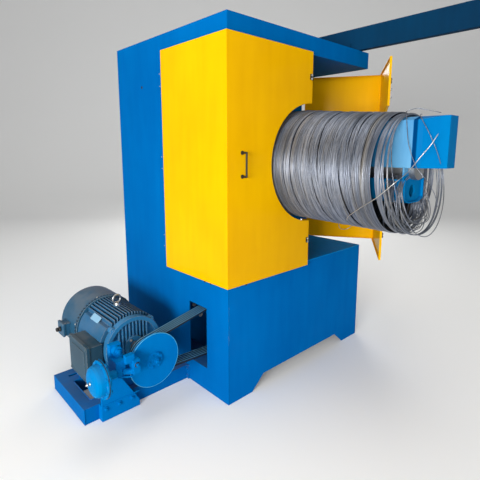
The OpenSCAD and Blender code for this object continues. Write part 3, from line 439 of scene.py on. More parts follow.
def lathe_points(profile, centre, axis, sides, phase=0.0):
    """A profile of (radius, height) pairs turned about an axis: centre + radius * ring + height * axis."""
    side, up, along = frame_of(axis)
    profile = np.asarray(profile, float)
    turn = np.linspace(0, TAU, sides, endpoint=False) + phase
    ring = np.cos(turn)[:, None] * side + np.sin(turn)[:, None] * up
    return np.asarray(centre) + profile[:, 0, None, None] * ring[None] + profile[:, 1, None, None] * along


def lathe(name, profile, centre, axis, finish, sides=24):
    """One turned piece, fixed to the housing or the motor."""
    surface(name, lathe_points(profile, centre, axis, sides), finish)


def hex_heads(name, centres, axis, across, height, body="root", finish=ZINC, washer=True):
    """Hexagon bolt heads on washers. A head is a chamfered profile turned about the axis with six sides,
    each head a little further round than the last, and a washer is a flat disc with twenty."""
    radius = across / math.sqrt(3)
    head = [(radius, 0), (radius, height * 0.8), (radius * 0.86, height), (radius * 0.4, height),
            (0, height)]
    heads = [lathe_points(head, centre, axis, 6, phase=0.3 * index) for index, centre in enumerate(centres)]
    surface(name, heads, finish, body, smooth=False)
    if washer:
        wide, thick = across * 0.95, height * 0.22
        disc = [(0, 0), (wide, 0), (wide, thick), (0, thick)]
        washers = [lathe_points(disc, centre, axis, 20) for centre in centres]
        surface(name + "_washers", washers, finish, body, smooth=False)


def axis_bolts(name, front, across, height, centre=DRUM_AXIS, radius=0.0, count=1, start=0.0, body="root",
               finish=ZINC):
    """Bolts that face the front, on a circle round an axis that runs front to back, or one on the axis."""
    middle = at(centre[0], front, centre[1])
    spots = ring_of(middle, TO_FRONT, radius, count, start)
    hex_heads(name, spots, TO_FRONT, across, height, body, finish)


def round_section(path, along, hint, girth, sides):
    """A circle round each point of a path, square to it: point + girth * (cos(t) * side + sin(t) * up),
    where side is square to the path and the hint, and up is square to the path and side."""
    along = along / np.linalg.norm(along, axis=-1, keepdims=True)
    side = np.cross(along, hint)
    side /= np.linalg.norm(side, axis=-1, keepdims=True)
    up = np.cross(along, side)
    turn = np.linspace(0, TAU, sides, endpoint=False)
    ring = np.cos(turn)[:, None] * side[..., None, :] + np.sin(turn)[:, None] * up[..., None, :]
    return path[..., None, :] + girth * ring


def tube_points(path, radius, sides):
    """A round section carried along a path, its ends drawn to a point."""
    path = np.asarray(path, float)
    girth = np.array(np.broadcast_to(radius, len(path)), float)
    girth[[0, -1]] = 0
    return round_section(path, np.gradient(path, axis=0), [0.31, 0.17, 0.93], girth[:, None, None], sides)


def smooth_path(knots, count):
    """A rounded path through the knots: cubic pieces whose slope at a knot is half the way between its
    neighbours."""
    knots = np.asarray(knots, float)
    slopes = np.gradient(knots, axis=0)
    t = np.linspace(0, len(knots) - 1, count)
    i = np.minimum(t.astype(int), len(knots) - 2)
    f = (t - i)[:, None]
    a, b, m, n = knots[i], knots[i + 1], slopes[i], slopes[i + 1]
    places = a * (2 * f**3 - 3 * f**2 + 1) + b * (3 * f**2 - 2 * f**3)
    return places + m * (f**3 - 2 * f**2 + f) + n * (f**3 - f**2)


def slab(name, centre, across, up, size, thick, corner, finish):
    """A plate with round corners, lifted from its middle out to its outline and back to its middle. The
    outline is a quarter circle of the corner's radius round each of four points, and the rim has a bevel."""
    across, up = np.array(across, float), np.array(up, float)
    rim_points = 24
    turn = (np.arange(rim_points) + 0.5) * TAU / rim_points
    ring = np.stack([np.cos(turn), np.sin(turn)], 1)
    posts = np.sign(ring) * (np.array(size) / 2 - corner)
    bevel = min(thick * 0.3, 0.0015)
    reach = np.array([0, 1, 1, 1, 0])[:, None, None]
    grow = np.array([0, corner, corner, corner - bevel, 0])[:, None, None]
    lift = np.array([0, 0, thick - bevel, thick, thick])[:, None, None]
    flat = reach * posts + grow * ring
    points = np.asarray(centre) + flat[..., :1] * across + flat[..., 1:] * up + lift * np.cross(across, up)
    surface(name, points, finish, smooth=False)


def beads(name, seams, radius, finish):
    """Weld beads along straight seams: thin round tubes whose girth rises and falls in even ripples, as
    0.82 + 0.18 * abs(sin) of the way along."""
    ripple, stations, sides = 0.0075, 240, 6
    tubes = []
    for start, stop in np.array(seams, float):
        length = np.linalg.norm(stop - start)
        share = np.linspace(0, 1, stations)[:, None]
        girth = radius * (0.82 + 0.18 * np.abs(np.sin(share[:, 0] * length / ripple * math.pi / 2)))
        tubes.append(tube_points(start + share * (stop - start), girth, sides))
    surface(name, tubes, finish)


# The coil of drawn wire

WIRE_R = 0.0026
TURN_PITCH = 0.0054              # from one turn to the next within a bundle
COIL_REACH = 0.85                # how far the loose part hangs out past the housing's front face
END_BORE = 0.330                 # the loose part's inner radius at its outer end
END_DROP = 0.042                 # how far the loose part sags at its outer end
DENSE_END = FRONT - 0.665        # where the close turns end
END_TURNS = FRONT - 0.735        # where the last single turns begin
LAST_TURN = FRONT - 0.80
MOST_BUNDLES = 80


def turns(name, y, radius, sag, lean, phase, tilt, finish=WIRE, segments=72):
    """Many closed turns of wire at once. Turn k is a near circle about the drum's axis. Its radius, its drop
    below the axis and its place along the axis are given, and waves of its own carry it off the circle:
    place + tilt * sin(a) + lean * (cos(a - phase) + 0.33 * cos(2a + 2 * phase)) + tremble * cos(5a + p), and
    radius + ripple * cos(3a + q). Turns of one bundle have nearly the same tilt, lean and phase, so they
    stay side by side. The tilt draws the top of a turn back towards the drum and lets its foot hang out. The
    wire's round section is carried round each."""
    ripple, tremble = 0.0006, 0.0008
    own = rng.uniform(0, TAU, (2, len(y), 1))
    a = np.linspace(0, TAU, segments, endpoint=False)[None]
    r = radius[:, None] + ripple * np.cos(3 * a + own[0])
    wave = np.cos(a - phase[:, None]) + 0.33 * np.cos(2 * a + 2 * phase[:, None])
    along = y[:, None] + lean[:, None] * wave
    along = along + tremble * np.cos(5 * a + own[1]) + tilt[:, None] * np.sin(a)
    t = np.linspace(0, TAU, 6, endpoint=False)
    rr = r[..., None] + WIRE_R * np.cos(t)
    x = rr * np.cos(a)[..., None]
    z = AXIS_Z - sag[:, None, None] + rr * np.sin(a)[..., None]
    points = np.stack([x, along[..., None] + WIRE_R * np.sin(t), z], axis=-1)
    return surface(name, points, finish, "block", close_u=True)


def slack(y):
    """How far along the loose part of the coil a place lies: 0 on the drum, 1 at the outer end."""
    return np.clip((FRONT - y) / COIL_REACH, 0, 1)


def bore(y):
    """The radius of the lowest turns: the drum's, narrowing evenly along the loose part."""
    return DRUM_R + WIRE_R + (END_BORE - DRUM_R) * slack(y)


def drop(y):
    """How far the turns hang below the drum's axis, growing evenly along the loose part."""
    return END_DROP * slack(y)


def lie(y):
    """How far the tops of the turns are drawn back: half a sine wave, most halfway along the loose part."""
    most, reach = 0.044, 0.72
    return most * np.sin(math.pi * np.clip((FRONT - y) / reach, 0, 1))


def under_layer(name, y_from, y_to, segments):
    """The lowest layer: turns side by side, painted dark as shade, seen only through the seams of the
    bundles above.
    """
    y = np.arange(y_from, y_to, -TURN_PITCH)
    flat = np.zeros(len(y))
    turns(name, y, bore(y), drop(y), 0.003 + flat, flat, 0.8 * lie(y), WIRE_SHADE, segments)


def bundles(name, y_from, y_to, seed, size, gap, lean, lift, hump, tip=(0.0, 0.0)):
    """Turns laid in bundles: a run of close turns, a dark seam, and the next run. Turns in a bundle, seam,
    lean and tip are drawn between two limits. The back of each bundle is humped, as hump * sqrt(1 - m * m)
    from edge to edge, and each bundle leans its own way, so the seams open and close round the coil."""
    local = np.random.default_rng(seed)
    sizes = local.integers(*size, MOST_BUNDLES)
    which = np.repeat(np.arange(MOST_BUNDLES), sizes)
    inside = np.concatenate([np.arange(n) for n in sizes])
    seam = np.cumsum(local.uniform(*gap, MOST_BUNDLES))
    y = y_from - np.arange(len(which)) * TURN_PITCH - seam[which]
    keep = y > y_to
    which, inside, y = which[keep], inside[keep], y[keep]
    middle = (2 * inside + 1) / sizes[which] - 1
    radius = bore(y) + lift + hump * np.sqrt(1 - middle**2) + local.uniform(0, 0.003, MOST_BUNDLES)[which]
    leans = local.uniform(*lean, MOST_BUNDLES)[which] * (0.25 + slack(y) * 1.4)
    phase = local.normal(0.5 * math.pi, 0.9, MOST_BUNDLES)[which] + local.normal(0, 0.03, len(y))
    tips = lie(y) * local.uniform(0.7, 1.15, MOST_BUNDLES)[which] + local.uniform(*tip, MOST_BUNDLES)[which]
    return turns(name, y, radius, drop(y), leans, phase, tips)


def coil():
    """The wound turns: a layer painted dark as shade on the drum and the mandrel, bundles over it, and a few
    stray turns.
    """
    drum_rear, drum_front = FRONT + 0.44, FRONT + 0.03
    under_layer("coil_turns_on_drum", drum_rear, drum_front, 48)
    under_layer("coil_turns_under", drum_front, DENSE_END, 72)
    wound = bundles("coil_bundles", FRONT + 0.2, DENSE_END - 0.02, 11, size=(3, 10), gap=(0.0008, 0.0042),
                    lean=(0.001, 0.006), lift=0.0052, hump=0.003)
    bundles("coil_bundles_near_end", DENSE_END - 0.032, END_TURNS, 12, size=(3, 7), gap=(0.002, 0.007),
            lean=(0.001, 0.005), lift=0.002, hump=0.001, tip=(0.0, 0.02))
    bundles("coil_bundles_end", END_TURNS, LAST_TURN, 14, size=(1, 3), gap=(0.005, 0.012),
            lean=(0.002, 0.009), lift=0.002, hump=0.001, tip=(0.03, 0.06))
    bundles("coil_bundles_over", drum_front, DENSE_END - 0.02, 13, size=(1, 4), gap=(0.016, 0.05),
            lean=(0.006, 0.02), lift=0.0098, hump=0.0)
    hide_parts("wire_coil")


def hanging_loops():
    """Short loops that have slipped off the coil and hang over the lower arm's end. Each is a rounded
    rectangle |x / w|^3 + |z / h|^3 = 1 whose lower end swings out along the axis by swing * (1 - z) / 2."""
    count, segments, wire_radius, arm_top = 34, 72, 0.0022, 1.458
    local = np.random.default_rng(21)

    def spread(low, high):
        return local.uniform(low, high, (count, 1))

    a = np.linspace(0, TAU, segments, endpoint=False)[None]
    c, s = np.cos(a), np.sin(a)
    rounded = (np.abs(c) ** 3 + np.abs(s) ** 3) ** (-1 / 3)
    wide = spread(0.148, 0.185)
    tall = spread(0.125, 0.166)
    top = arm_top + spread(0.004, 0.012)
    x = wide * c * rounded + local.normal(0, 0.012, (count, 1)) * (1 - s)
    z = top - tall + tall * s * rounded + 0.004 * np.cos(3 * a + spread(0, TAU))
    swing = spread(-0.02, 0.10)
    y = FRONT - spread(0.66, 0.755) - swing * (1 - s) / 2
    y = y + 0.006 * np.cos(2 * a + spread(0, TAU))
    path = np.stack([x, y, z], -1)
    along = np.roll(path, -1, 1) - np.roll(path, 1, 1)
    points = round_section(path, along, TO_REAR, wire_radius, 6)
    surface("coil_hanging_loops", points, WIRE, "block", close_u=True)


LONG_WIRE = [
    (-0.250, -1.150, 1.205), (-0.286, -1.180, 1.238), (-0.345, -1.291, 1.308), (-0.380, -1.395, 1.372),
    (-0.380, -1.488, 1.455), (-0.310, -1.500, 1.489), (-0.230, -1.503, 1.526), (-0.200, -1.528, 1.578),
    (-0.190, -1.570, 1.637), (-0.17, -1.60, 1.70),
]
LOOSE_WIRES = [
    [(0.00, -1.34, 1.815), (-0.06, -1.375, 1.812), (-0.115, -1.405, 1.790), (-0.138, -1.424, 1.715),
     (-0.148, -1.443, 1.638), (-0.154, -1.489, 1.533), (-0.150, -1.526, 1.486), (-0.13, -1.552, 1.444),
     (-0.08, -1.57, 1.38), (0.0, -1.56, 1.30)],
    [(0.02, -1.43, 1.812), (-0.06, -1.455, 1.806), (-0.115, -1.482, 1.788), (-0.130, -1.510, 1.749),
     (-0.128, -1.538, 1.699), (-0.11, -1.57, 1.62), (-0.07, -1.585, 1.54)],
    [(0.05, -1.33, 1.812), (-0.03, -1.362, 1.825), (-0.045, -1.383, 1.832), (-0.020, -1.418, 1.843),
     (0.0, -1.476, 1.830), (0.03, -1.53, 1.815)],
    [(-0.230, -1.020, 1.215), (-0.185, -1.046, 1.178), (-0.12, -1.02, 1.125), (-0.05, -1.02, 1.108),
     (-0.035, -1.06, 1.135), (-0.05, -1.12, 1.165)],
]


def strands(name, paths, radius, sides, finish):
    """Loose lengths of wire, each rounded through its own few knots."""
    tubes = [tube_points(smooth_path(knots, 60), radius, sides) for knots in paths]
    surface(name, tubes, finish, "block")


# The brake

CHAMBER = at(-1.484, 0.195, 0.402)   # the middle of the air chamber's flange
JAW_PIN = (-1.306, 0.445)            # x and z


def chamber_trim():
    """The air chamber's clamped flange, with a seam turned about its axis, and its air fitting."""
    bolt_circle, flange, half_seam, half_flange, half_body = 0.0955, 0.1055, 0.0016, 0.008, 0.062
    spots = ring_of(CHAMBER, TO_LEFT, bolt_circle, count=8, start=TAU / 16)
    left_spots, right_spots = spots - [half_flange, 0, 0], spots + [half_flange, 0, 0]
    hex_heads("chamber_bolts", left_spots, TO_LEFT, across=0.013, height=0.008, finish=SKY)
    hex_heads("chamber_nuts", right_spots, TO_RIGHT, across=0.013, height=0.012, finish=SKY)
    seam = [(0.0, -half_seam), (flange, -half_seam), (flange + 0.0007, 0), (flange, half_seam),
            (0.0, half_seam)]
    lathe("chamber_seam", seam, CHAMBER, TO_LEFT, BLACK, sides=48)
    fitting = [(0, 0), (0.010, 0), (0.010, 0.003), (0.007, 0.004), (0.007, 0.012), (0.0085, 0.013),
               (0.0085, 0.018), (0.005, 0.019), (0.004, 0.024), (0, 0.024)]
    lathe("air_fitting", fitting, np.array(CHAMBER) - [half_body, 0, 0], TO_LEFT, ZINC)


def disc_trim():
    """A thin pale band painted as the highlight along the disc's rim, turned about the motor's axis, and the
    bolts of its hub.
    """
    rim = [(0.1605, -0.0002), (0.1643, -0.0024), (0.1643, -0.0010), (0.1620, 0.0009)]
    middle = at(MOTOR_AXIS[0], 0.200, MOTOR_AXIS[1])
    band = lathe_points(rim, middle, TO_FRONT, sides=96)
    surface("disc_rim_highlight", band, RIM_HIGHLIGHT, "motor_rotor", close_u=True)
    hub = {"centre": MOTOR_AXIS, "body": "motor_rotor", "finish": BRIGHT}
    axis_bolts("disc_bolts", front=0.192, across=0.010, height=0.006, radius=0.040, count=6, **hub)
    axis_bolts("disc_centre_bolt", front=0.178, across=0.019, height=0.011, **hub)


def caliper_trim():
    """The pins of the caliper's arms and jaw, and the bar that pulls them back."""
    axis_bolts("jaw_bolt", front=0.125, across=0.011, height=0.007, centre=JAW_PIN, finish=BRIGHT)
    ring = [(0.0092, 0), (0.0148, 0), (0.0148, 0.0016), (0.0092, 0.0016)]
    lathe("jaw_bolt_ring", ring, at(JAW_PIN[0], 0.1312, JAW_PIN[1]), TO_FRONT, BLACK, sides=32)
    for arm, front, pin in (("upper", 0.231, (-1.363, 0.500)), ("lower", 0.237, (-1.356, 0.460))):
        axis_bolts(f"pivot_cap_{arm}", front, across=0.017, height=0.007, centre=pin, finish=BRIGHT)
    bar = [(-1.396, 0.195), (-1.390, 0.191), (-1.330, 0.151), (-1.324, 0.147)]
    path = [at(x, front, 0.376) for x, front in bar]
    surface("return_bar", tube_points(path, radius=0.005, sides=12), BRIGHT)


def stand_trim():
    """The brake stand's welds and the bolts of its foot."""
    face = 0.395
    foot_seam = at(-1.410, face, 0.101), at(-1.160, face, 0.101)
    head_seam = at(-1.341, face, 0.385), at(-1.314, face, 0.385)
    beads("stand_welds", [foot_seam, head_seam], radius=0.004, finish=BRIGHT)
    spots = [at(x, face + 0.001, 0.075) for x in (-1.385, -1.30, -1.215)]
    hex_heads("stand_bolts", spots, TO_FRONT, across=0.018, height=0.011, finish=BRIGHT)


# The motor

MOTOR_X, MOTOR_Z = MOTOR_AXIS
FOOT_FRONTS = (0.5195, 0.8245)       # how far the feet's bolts lie behind the housing's front face
COWL_R = 0.219
GLAND = [(0, 0), (0.017, 0), (0.017, 0.010), (0.013, 0.011), (0.013, 0.018), (0.015, 0.019), (0.012, 0.030),
         (0, 0.030)]


def motor_bolts():
    """Bolts of the end shield, bearing cap, feet and slide rails, and the rails' push screws."""
    axis_bolts("shield_bolts", front=0.461, across=0.019, height=0.012, centre=MOTOR_AXIS, radius=0.188,
               count=4, start=TAU / 8, finish=OVERSPRAY)
    axis_bolts("bearing_cap_bolts", front=0.445, across=0.011, height=0.007, centre=MOTOR_AXIS, radius=0.047,
               count=3)
    corners = [(side, front) for side in (-1, 1) for front in FOOT_FRONTS]
    feet = [at(MOTOR_X + side * 0.173, front, 0.209) for side, front in corners]
    hex_heads("foot_bolts", feet, UP, across=0.022, height=0.014)
    rails = [at(MOTOR_X + side * 0.212, front, 0.187) for side, front in corners]
    hex_heads("slide_rail_bolts", rails, UP, across=0.017, height=0.011)
    length = 0.026
    starts = np.array([at(MOTOR_X - side * 0.199, front, 0.199) for side, front in corners])
    ends = starts - [(side * length, 0, 0) for side, front in corners]
    rods = [tube_points(np.linspace(start, end, 4), radius=0.005, sides=10)
            for start, end in zip(starts, ends)]
    surface("slide_rail_pushers", rods, ZINC)


def terminal_box_trim():
    """The terminal box's lid screws, gasket, raised lid panel and two cable glands, each gland turned."""
    screws = [at(-1.450, front, level) for front in (0.488, 0.732) for level in (0.240, 0.442)]
    hex_heads("box_lid_screws", screws, TO_LEFT, across=0.010, height=0.006, finish=BOX)
    box_front, box_z = 0.61, 0.341
    slab("box_gasket", at(-1.4318, box_front, box_z), TO_FRONT, UP, size=(0.264, 0.222), thick=0.0022,
         corner=0.004, finish=BLACK)
    slab("box_lid_panel", at(-1.450, box_front, box_z), TO_FRONT, UP, size=(0.196, 0.156), thick=0.003,
         corner=0.012, finish=BOX)
    for number, front in enumerate((0.56, 0.66)):
        lathe(f"box_gland_{number + 1}", GLAND, at(-1.390, front, 0.232), DOWN, BLACK)


def fan_box_trim():
    """The lid, gland and screws of the small box on the fan cowl."""
    box_front, box_z = 0.988, 0.397
    slab("fan_box_lid", at(-1.4072, box_front, box_z), TO_FRONT, UP, size=(0.100, 0.094), thick=0.014,
         corner=0.006, finish=COWL_SHADED)
    lathe("fan_box_gland", GLAND, at(-1.4212, box_front, box_z), TO_LEFT, BLACK)
    screws = [at(-1.3995, box_front + side * 0.033, 0.439) for side in (-1, 1)]
    hex_heads("fan_box_screws", screws, UP, across=0.008, height=0.004, washer=False)


def name_plate():
    """A blank plate on the motor's smooth side, square to a radius 133.5 degrees round, and four rivets."""
    turn = math.radians(133.5)
    out = np.array([math.cos(turn), 0, math.sin(turn)])
    down = np.array([-math.sin(turn), 0, math.cos(turn)])
    middle = np.array(at(MOTOR_X, 0.682, MOTOR_Z)) + out * 0.2062
    slab("name_plate_blank", middle - 0.0012 * out, TO_FRONT, -down, size=(0.112, 0.044), thick=0.0026,
         corner=0.004, finish=PLATE)
    along, rise = np.array([0, 0.052, 0]), 0.018 * down
    spots = [middle + a * along + b * rise + out * 0.0014 for a in (-1, 1) for b in (-1, 1)]
    head = [(0, 0), (0.0028, 0), (0.002, 0.0012), (0, 0.0016)]
    surface("name_plate_rivets", [lathe_points(head, spot, out, sides=12) for spot in spots], ZINC)


def round_cowl(name, profile, front, count, sides, finish, start=0.0, smooth=True):
    """Small heads or patches spaced evenly round the fan cowl, each turned about its own outward radius."""
    middle = np.array(at(MOTOR_X, front, MOTOR_Z))
    spots = ring_of(middle, TO_REAR, COWL_R, count, start)
    heads = [lathe_points(profile, spot, spot - middle, sides) for spot in spots]
    surface(name, heads, finish, smooth=smooth)


def fan_cowl_trim():
    """The cowl's screws, black patches of painted shade for the air slots along its front edge, and its rear
    guard:
    rings and spokes.
    """
    screw = [(0.006, 0), (0.006, 0.002), (0.003, 0.004), (0, 0.004)]
    round_cowl("cowl_screws", screw, front=0.868, count=6, sides=12, finish=ZINC, start=0.3)
    # the air slots are not cut: flat black patches stand for the shade inside them
    slot_r, slot_rise = 0.0075, 0.0006
    front_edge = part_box("motor_fan_cowl")[0][1] + MOUTH + slot_r
    patch = [(slot_r, 0), (slot_r, slot_rise), (0, slot_rise)]
    round_cowl("cowl_air_slot_shade", patch, front_edge, count=60, sides=4, finish=BLACK, smooth=False)
    bar = np.array([(-0.002, 0), (0.002, 0), (0.002, 0.004), (-0.002, 0.004)])
    guard = at(MOTOR_X, 1.1355, MOTOR_Z)
    rings = [lathe_points(bar + [r, 0], guard, TO_REAR, sides=64) for r in np.linspace(0.03, 0.15, 9)]
    surface("cowl_guard_rings", rings, MOTOR, close_u=True)
    middle = at(MOTOR_X, 1.1385, MOTOR_Z)
    outer = ring_of(middle, TO_REAR, radius=0.156, count=6)
    inner = ring_of(middle, TO_REAR, radius=0.022, count=6)
    spokes = [tube_points(np.linspace(a, b, 3), radius=0.0028, sides=8) for a, b in zip(outer, inner)]
    surface("cowl_guard_spokes", spokes, MOTOR)


def eye_collar():
    """The flat collar under the lifting eye."""
    collar = [(0.021, 0), (0.021, 0.003), (0, 0.003)]
    lathe("eye_collar", collar, at(MOTOR_X, 0.667, 0.595), UP, ZINC, sides=32)


# The doors: the right leaf is the left one mirrored, and rests open about its hinge line

OPEN_ANGLE = math.radians(33)
OPEN_HINGE = np.array([0.762, 0.002])
OPEN_SPIN = np.array([[math.cos(OPEN_ANGLE), -math.sin(OPEN_ANGLE)],
                      [math.sin(OPEN_ANGLE), math.cos(OPEN_ANGLE)]])
OPEN_FRONT = (*map(float, OPEN_SPIN @ [0.0, -1.0]), 0.0)
SKIN_FRONT = -0.0271                 # the leaf's outer face, behind the housing's front face


def opened(points):
    """Places on the shut left leaf, mirrored and then turned to where the right leaf rests."""
    points = np.array(points, float) * [-1, 1, 1]
    return np.concatenate([(points[:, :2] - OPEN_HINGE) @ OPEN_SPIN.T + OPEN_HINGE, points[:, 2:]], axis=1)


def catch_screws():
    """Screws on both leaves' catches, and the bolts above the right one."""
    left = [at(-0.018, -0.033, level + lift) for level in (0.977, 2.098) for lift in (-0.011, 0.011)]
    hex_heads("left_catch_screws", left, TO_FRONT, across=0.010, height=0.005, body="left_leaf")
    hex_heads("right_catch_screws", opened(left), OPEN_FRONT, across=0.010, height=0.005, body="right_leaf")
    bolts = [at(-0.020, -0.0272, level) for level in (1.985, 2.040)]
    hex_heads("right_door_bolts", opened(bolts), OPEN_FRONT, across=0.016, height=0.012, body="right_leaf")


def handle_pads():
    """A round pad under each foot of the handles."""
    pad = [(0, 0), (0.012, 0), (0.012, 0.004), (0.009, 0.006), (0, 0.006)]
    left = [at(-0.659, SKIN_FRONT, level) for level in (1.459, 1.599)]
    for leaf, feet, facing in (("left", left, TO_FRONT), ("right", opened(left), OPEN_FRONT)):
        pads = [lathe_points(pad, foot, facing, sides=24) for foot in feet]
        surface(leaf + "_handle_pads", pads, BLACK, leaf + "_leaf")


def hinge_screws():
    """Three round-headed screws in each hinge's fixed leaf, the middle one nearer the hinge line."""
    head = [(0.0048, 0), (0.0038, 0.0014), (0, 0.0016)]
    pattern = ((-0.04, 0.036), (0.0, 0.024), (0.04, 0.036))
    levels = (0.967, 1.525, 2.083)
    spots = np.array([(-0.753, y, level + lift) for level in levels for lift, y in pattern])
    for side, leaf in ((1, "left"), (-1, "right")):
        heads = [lathe_points(head, spot * [side, 1, 1], (-side, 0, 0), sides=12) for spot in spots]
        surface(leaf + "_hinge_screws", heads, ZINC)


def door_stops():
    """Rubber stops under the left leaf's lower edge."""
    stop = [(0, 0), (0.006, 0), (0.005, 0.008), (0, 0.009)]
    spots = [(-0.774, -0.52, 0.787), (-0.774, -0.46, 0.787), (-0.62, -0.684, 0.787)]
    stops = [lathe_points(stop, spot, DOWN, sides=16) for spot in spots]
    surface("left_door_stops", stops, BLACK, "left_leaf")


# The housing

CLEAT_FRONTS = (0.07, 0.78, 1.10)    # the front ends of the beam's cleats


def housing_bolts():
    """Bolts of the two bearings, the motor's frame and the beam's cleats."""
    axis_bolts("spindle_bearing_bolts", front=0.636, across=0.024, height=0.015, radius=0.172, count=12)
    axis_bolts("driven_bearing_bolts", front=0.640, across=0.019, height=0.012, centre=DRIVEN_AXIS,
               radius=0.118, count=6)
    ties = [at(-0.760, front, level) for front in (0.433, 0.517) for level in (0.022, 0.078)]
    hex_heads("frame_tie_bolts", ties, TO_LEFT, across=0.017, height=0.011, finish=BLUE)
    floor = [at(-1.470, front, 0.008) for front in (0.49, 0.69, 0.90)]
    hex_heads("frame_floor_bolts", floor, UP, across=0.022, height=0.014)
    cleats = [at(0.57, front + 0.045, 2.380) for front in CLEAT_FRONTS]
    hex_heads("cleat_bolts", cleats, UP, across=0.019, height=0.012, finish=BLUE)


def housing_welds():
    """Beads on the motor's frame, across the housing's mouth and along the cleats."""
    frame_seams = [
        (at(-1.498, 0.439, 0.1), at(-1.498, 0.439, 0.002)),
        (at(-1.430, 0.512, 0.1), at(-1.430, 0.774, 0.1)),
        (at(-1.432, 0.5105, 0.1005), at(-1.36, 0.5105, 0.1005)),
        (at(-0.7515, 0.421, 0.002), at(-0.7515, 0.421, 0.1)),
    ]
    beads("frame_welds", frame_seams, radius=0.0035, finish=BLUE)
    mouth_seams = [(at(-0.74, 0.6575, z), at(0.74, 0.6575, z)) for z in (0.8115, 2.2495)]
    beads("housing_welds", mouth_seams, radius=0.005, finish=BLUE)
    cleat_seams = [(at(0.599, front, 2.3735), at(0.599, front + 0.09, 2.3735)) for front in CLEAT_FRONTS]
    beads("cleat_welds", cleat_seams, radius=0.004, finish=BLUE)


def housing_trim():
    """The sill plate behind the belt window, and a black disc with a turned rim, painted shade for the
    lifting hole.
    """
    sill = (-0.655, -0.330, 0.1545)
    slab("window_sill_plate", sill, TO_RIGHT, TO_REAR, size=(0.172, 0.600), thick=0.008, corner=0.004,
         finish=BLUE)
    # the lifting hole is not cut: a black disc stands for the shade inside it
    hole = [(0.0105, 0), (0.0095, 0.0012), (0.008, 0.0003), (0, 0.0003)]
    lathe("lifting_hole_shade", hole, (-0.75, 0.28, 2.06), TO_LEFT, BLACK)


coil()
hanging_loops()
strands("long_wire", [LONG_WIRE], radius=0.0024, sides=8, finish=ZINC)
strands("loose_wires", LOOSE_WIRES, radius=0.0019, sides=7, finish=WIRE)
chamber_trim()
disc_trim()
caliper_trim()
stand_trim()
motor_bolts()
terminal_box_trim()
fan_box_trim()
name_plate()
fan_cowl_trim()
eye_collar()
catch_screws()
handle_pads()
hinge_screws()
door_stops()
housing_bolts()
housing_welds()
housing_trim()


# Stage, light and camera

VIEW_TURN = math.radians(43)         # the camera looks this far to the right of straight ahead


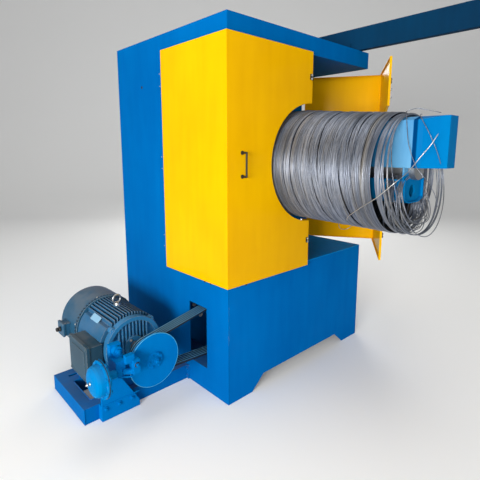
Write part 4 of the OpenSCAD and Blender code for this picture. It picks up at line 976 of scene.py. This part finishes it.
def stage():
    """A pale floor, a millimetre below the machine's feet, that sweeps up into a backdrop: a straight, a
    quarter circle and a straight, carried across the camera's view."""
    near, far, bend, high, half_width = -24.0, 6.0, 3.0, 12.0, 36.0
    turn = np.linspace(0, math.pi / 2, 16)
    curve = np.stack([far + bend * np.sin(turn), bend - bend * np.cos(turn)], 1)
    profile = np.concatenate([[[near, 0.0]], curve, [[far + bend, high]]])
    across = np.linspace(-half_width, half_width, 2)
    ahead = np.array([math.sin(VIEW_TURN), math.cos(VIEW_TURN), 0])
    side = np.array([ahead[1], -ahead[0], 0])
    points = profile[:, None, :1] * ahead + across[:, None] * side + profile[:, None, 1:] * np.array(UP)
    rows, cols = points.shape[:2]
    index = np.arange(rows * cols).reshape(rows, cols)
    faces = np.stack([index[:-1, :-1], index[:-1, 1:], index[1:, 1:], index[1:, :-1]], -1).reshape(-1, 4)
    mesh = bpy.data.meshes.new("floor")
    mesh.from_pydata(points.reshape(-1, 3).tolist(), [], faces.tolist())
    mesh.polygons.foreach_set("use_smooth", np.full(len(faces), True))
    pale = Finish("floor_pale", srgb(226, 226, 224), 0.9, Emission_Strength=1.0)
    camera_ray, glossy_ray, clear_ray = (pale.node("ShaderNodeLightPath", {}, out=f"Is {kind} Ray")
                                         for kind in ("Camera", "Glossy", "Transmission"))
    seen = camera_ray + glossy_ray + clear_ray
    pale.set("Base Color", pale.mix(seen, srgb(205, 206, 208), srgb(242, 242, 240)))
    pale.set("Emission Color", pale.mix(seen, (0, 0, 0, 1), (0.09, 0.09, 0.09, 1)))
    mesh.materials.append(pale.material)
    floor = bpy.data.objects.new("floor", mesh)
    bpy.context.scene.collection.objects.link(floor)
    floor.location.z = -0.001


def area_lamp(name, place, aim, size, power):
    """A plain white rectangle of light at a place, turned to its aim."""
    lamp = bpy.data.lights.new(name, "AREA")
    lamp.shape = "RECTANGLE"
    lamp.size, lamp.size_y = size
    lamp.energy = power
    holder = bpy.data.objects.new(name, lamp)
    holder.location = place
    holder.rotation_euler = (Vector(aim) - Vector(place)).to_track_quat("-Z", "Y").to_euler()
    bpy.context.scene.collection.objects.link(holder)


def light():
    """Even light from the world, one broad soft lamp from the left, and weaker ones in front, behind and
    above."""
    world = bpy.data.worlds.new("soft_room")
    world.use_nodes = True
    bpy.context.scene.world = world
    back = world.node_tree.nodes["Background"]
    back.inputs["Color"].default_value = (1.0, 1.0, 1.0, 1.0)
    back.inputs["Strength"].default_value = 0.32
    area_lamp("key", place=(-6.3, -3.1, 1.7), aim=(-0.3, -0.3, 0.8), size=(2.6, 1.8), power=415)
    area_lamp("front", place=(-3.8, -5.6, 1.9), aim=(-0.6, -0.6, 0.7), size=(3.0, 2.2), power=38)
    area_lamp("rear", place=(4.6, 4.4, 2.8), aim=(0.0, 0.2, 1.1), size=(3.0, 2.4), power=150)
    area_lamp("above", place=(-0.6, -0.8, 6.5), aim=(-0.2, -0.5, 0.0), size=(4.0, 4.0), power=112)


def camera():
    """The photograph's camera, solved from the housing's corners. Focal length and shift are in pixels."""
    photo_width, focal, shift_down, sensor = 480, 400.2, 26, 36.0
    eye = bpy.data.cameras.new("photo_view")
    eye.sensor_width = sensor
    eye.lens = focal / photo_width * sensor
    eye.shift_y = -shift_down / photo_width
    holder = bpy.data.objects.new("photo_view", eye)
    holder.location = at(-2.2867, -1.7534, 1.6244)
    holder.rotation_euler = (math.radians(80.69), 0.0, -VIEW_TURN)
    bpy.context.scene.collection.objects.link(holder)
    bpy.context.scene.camera = holder


stage()
light()
camera()
bpy.context.scene.view_settings.view_transform = "Standard"
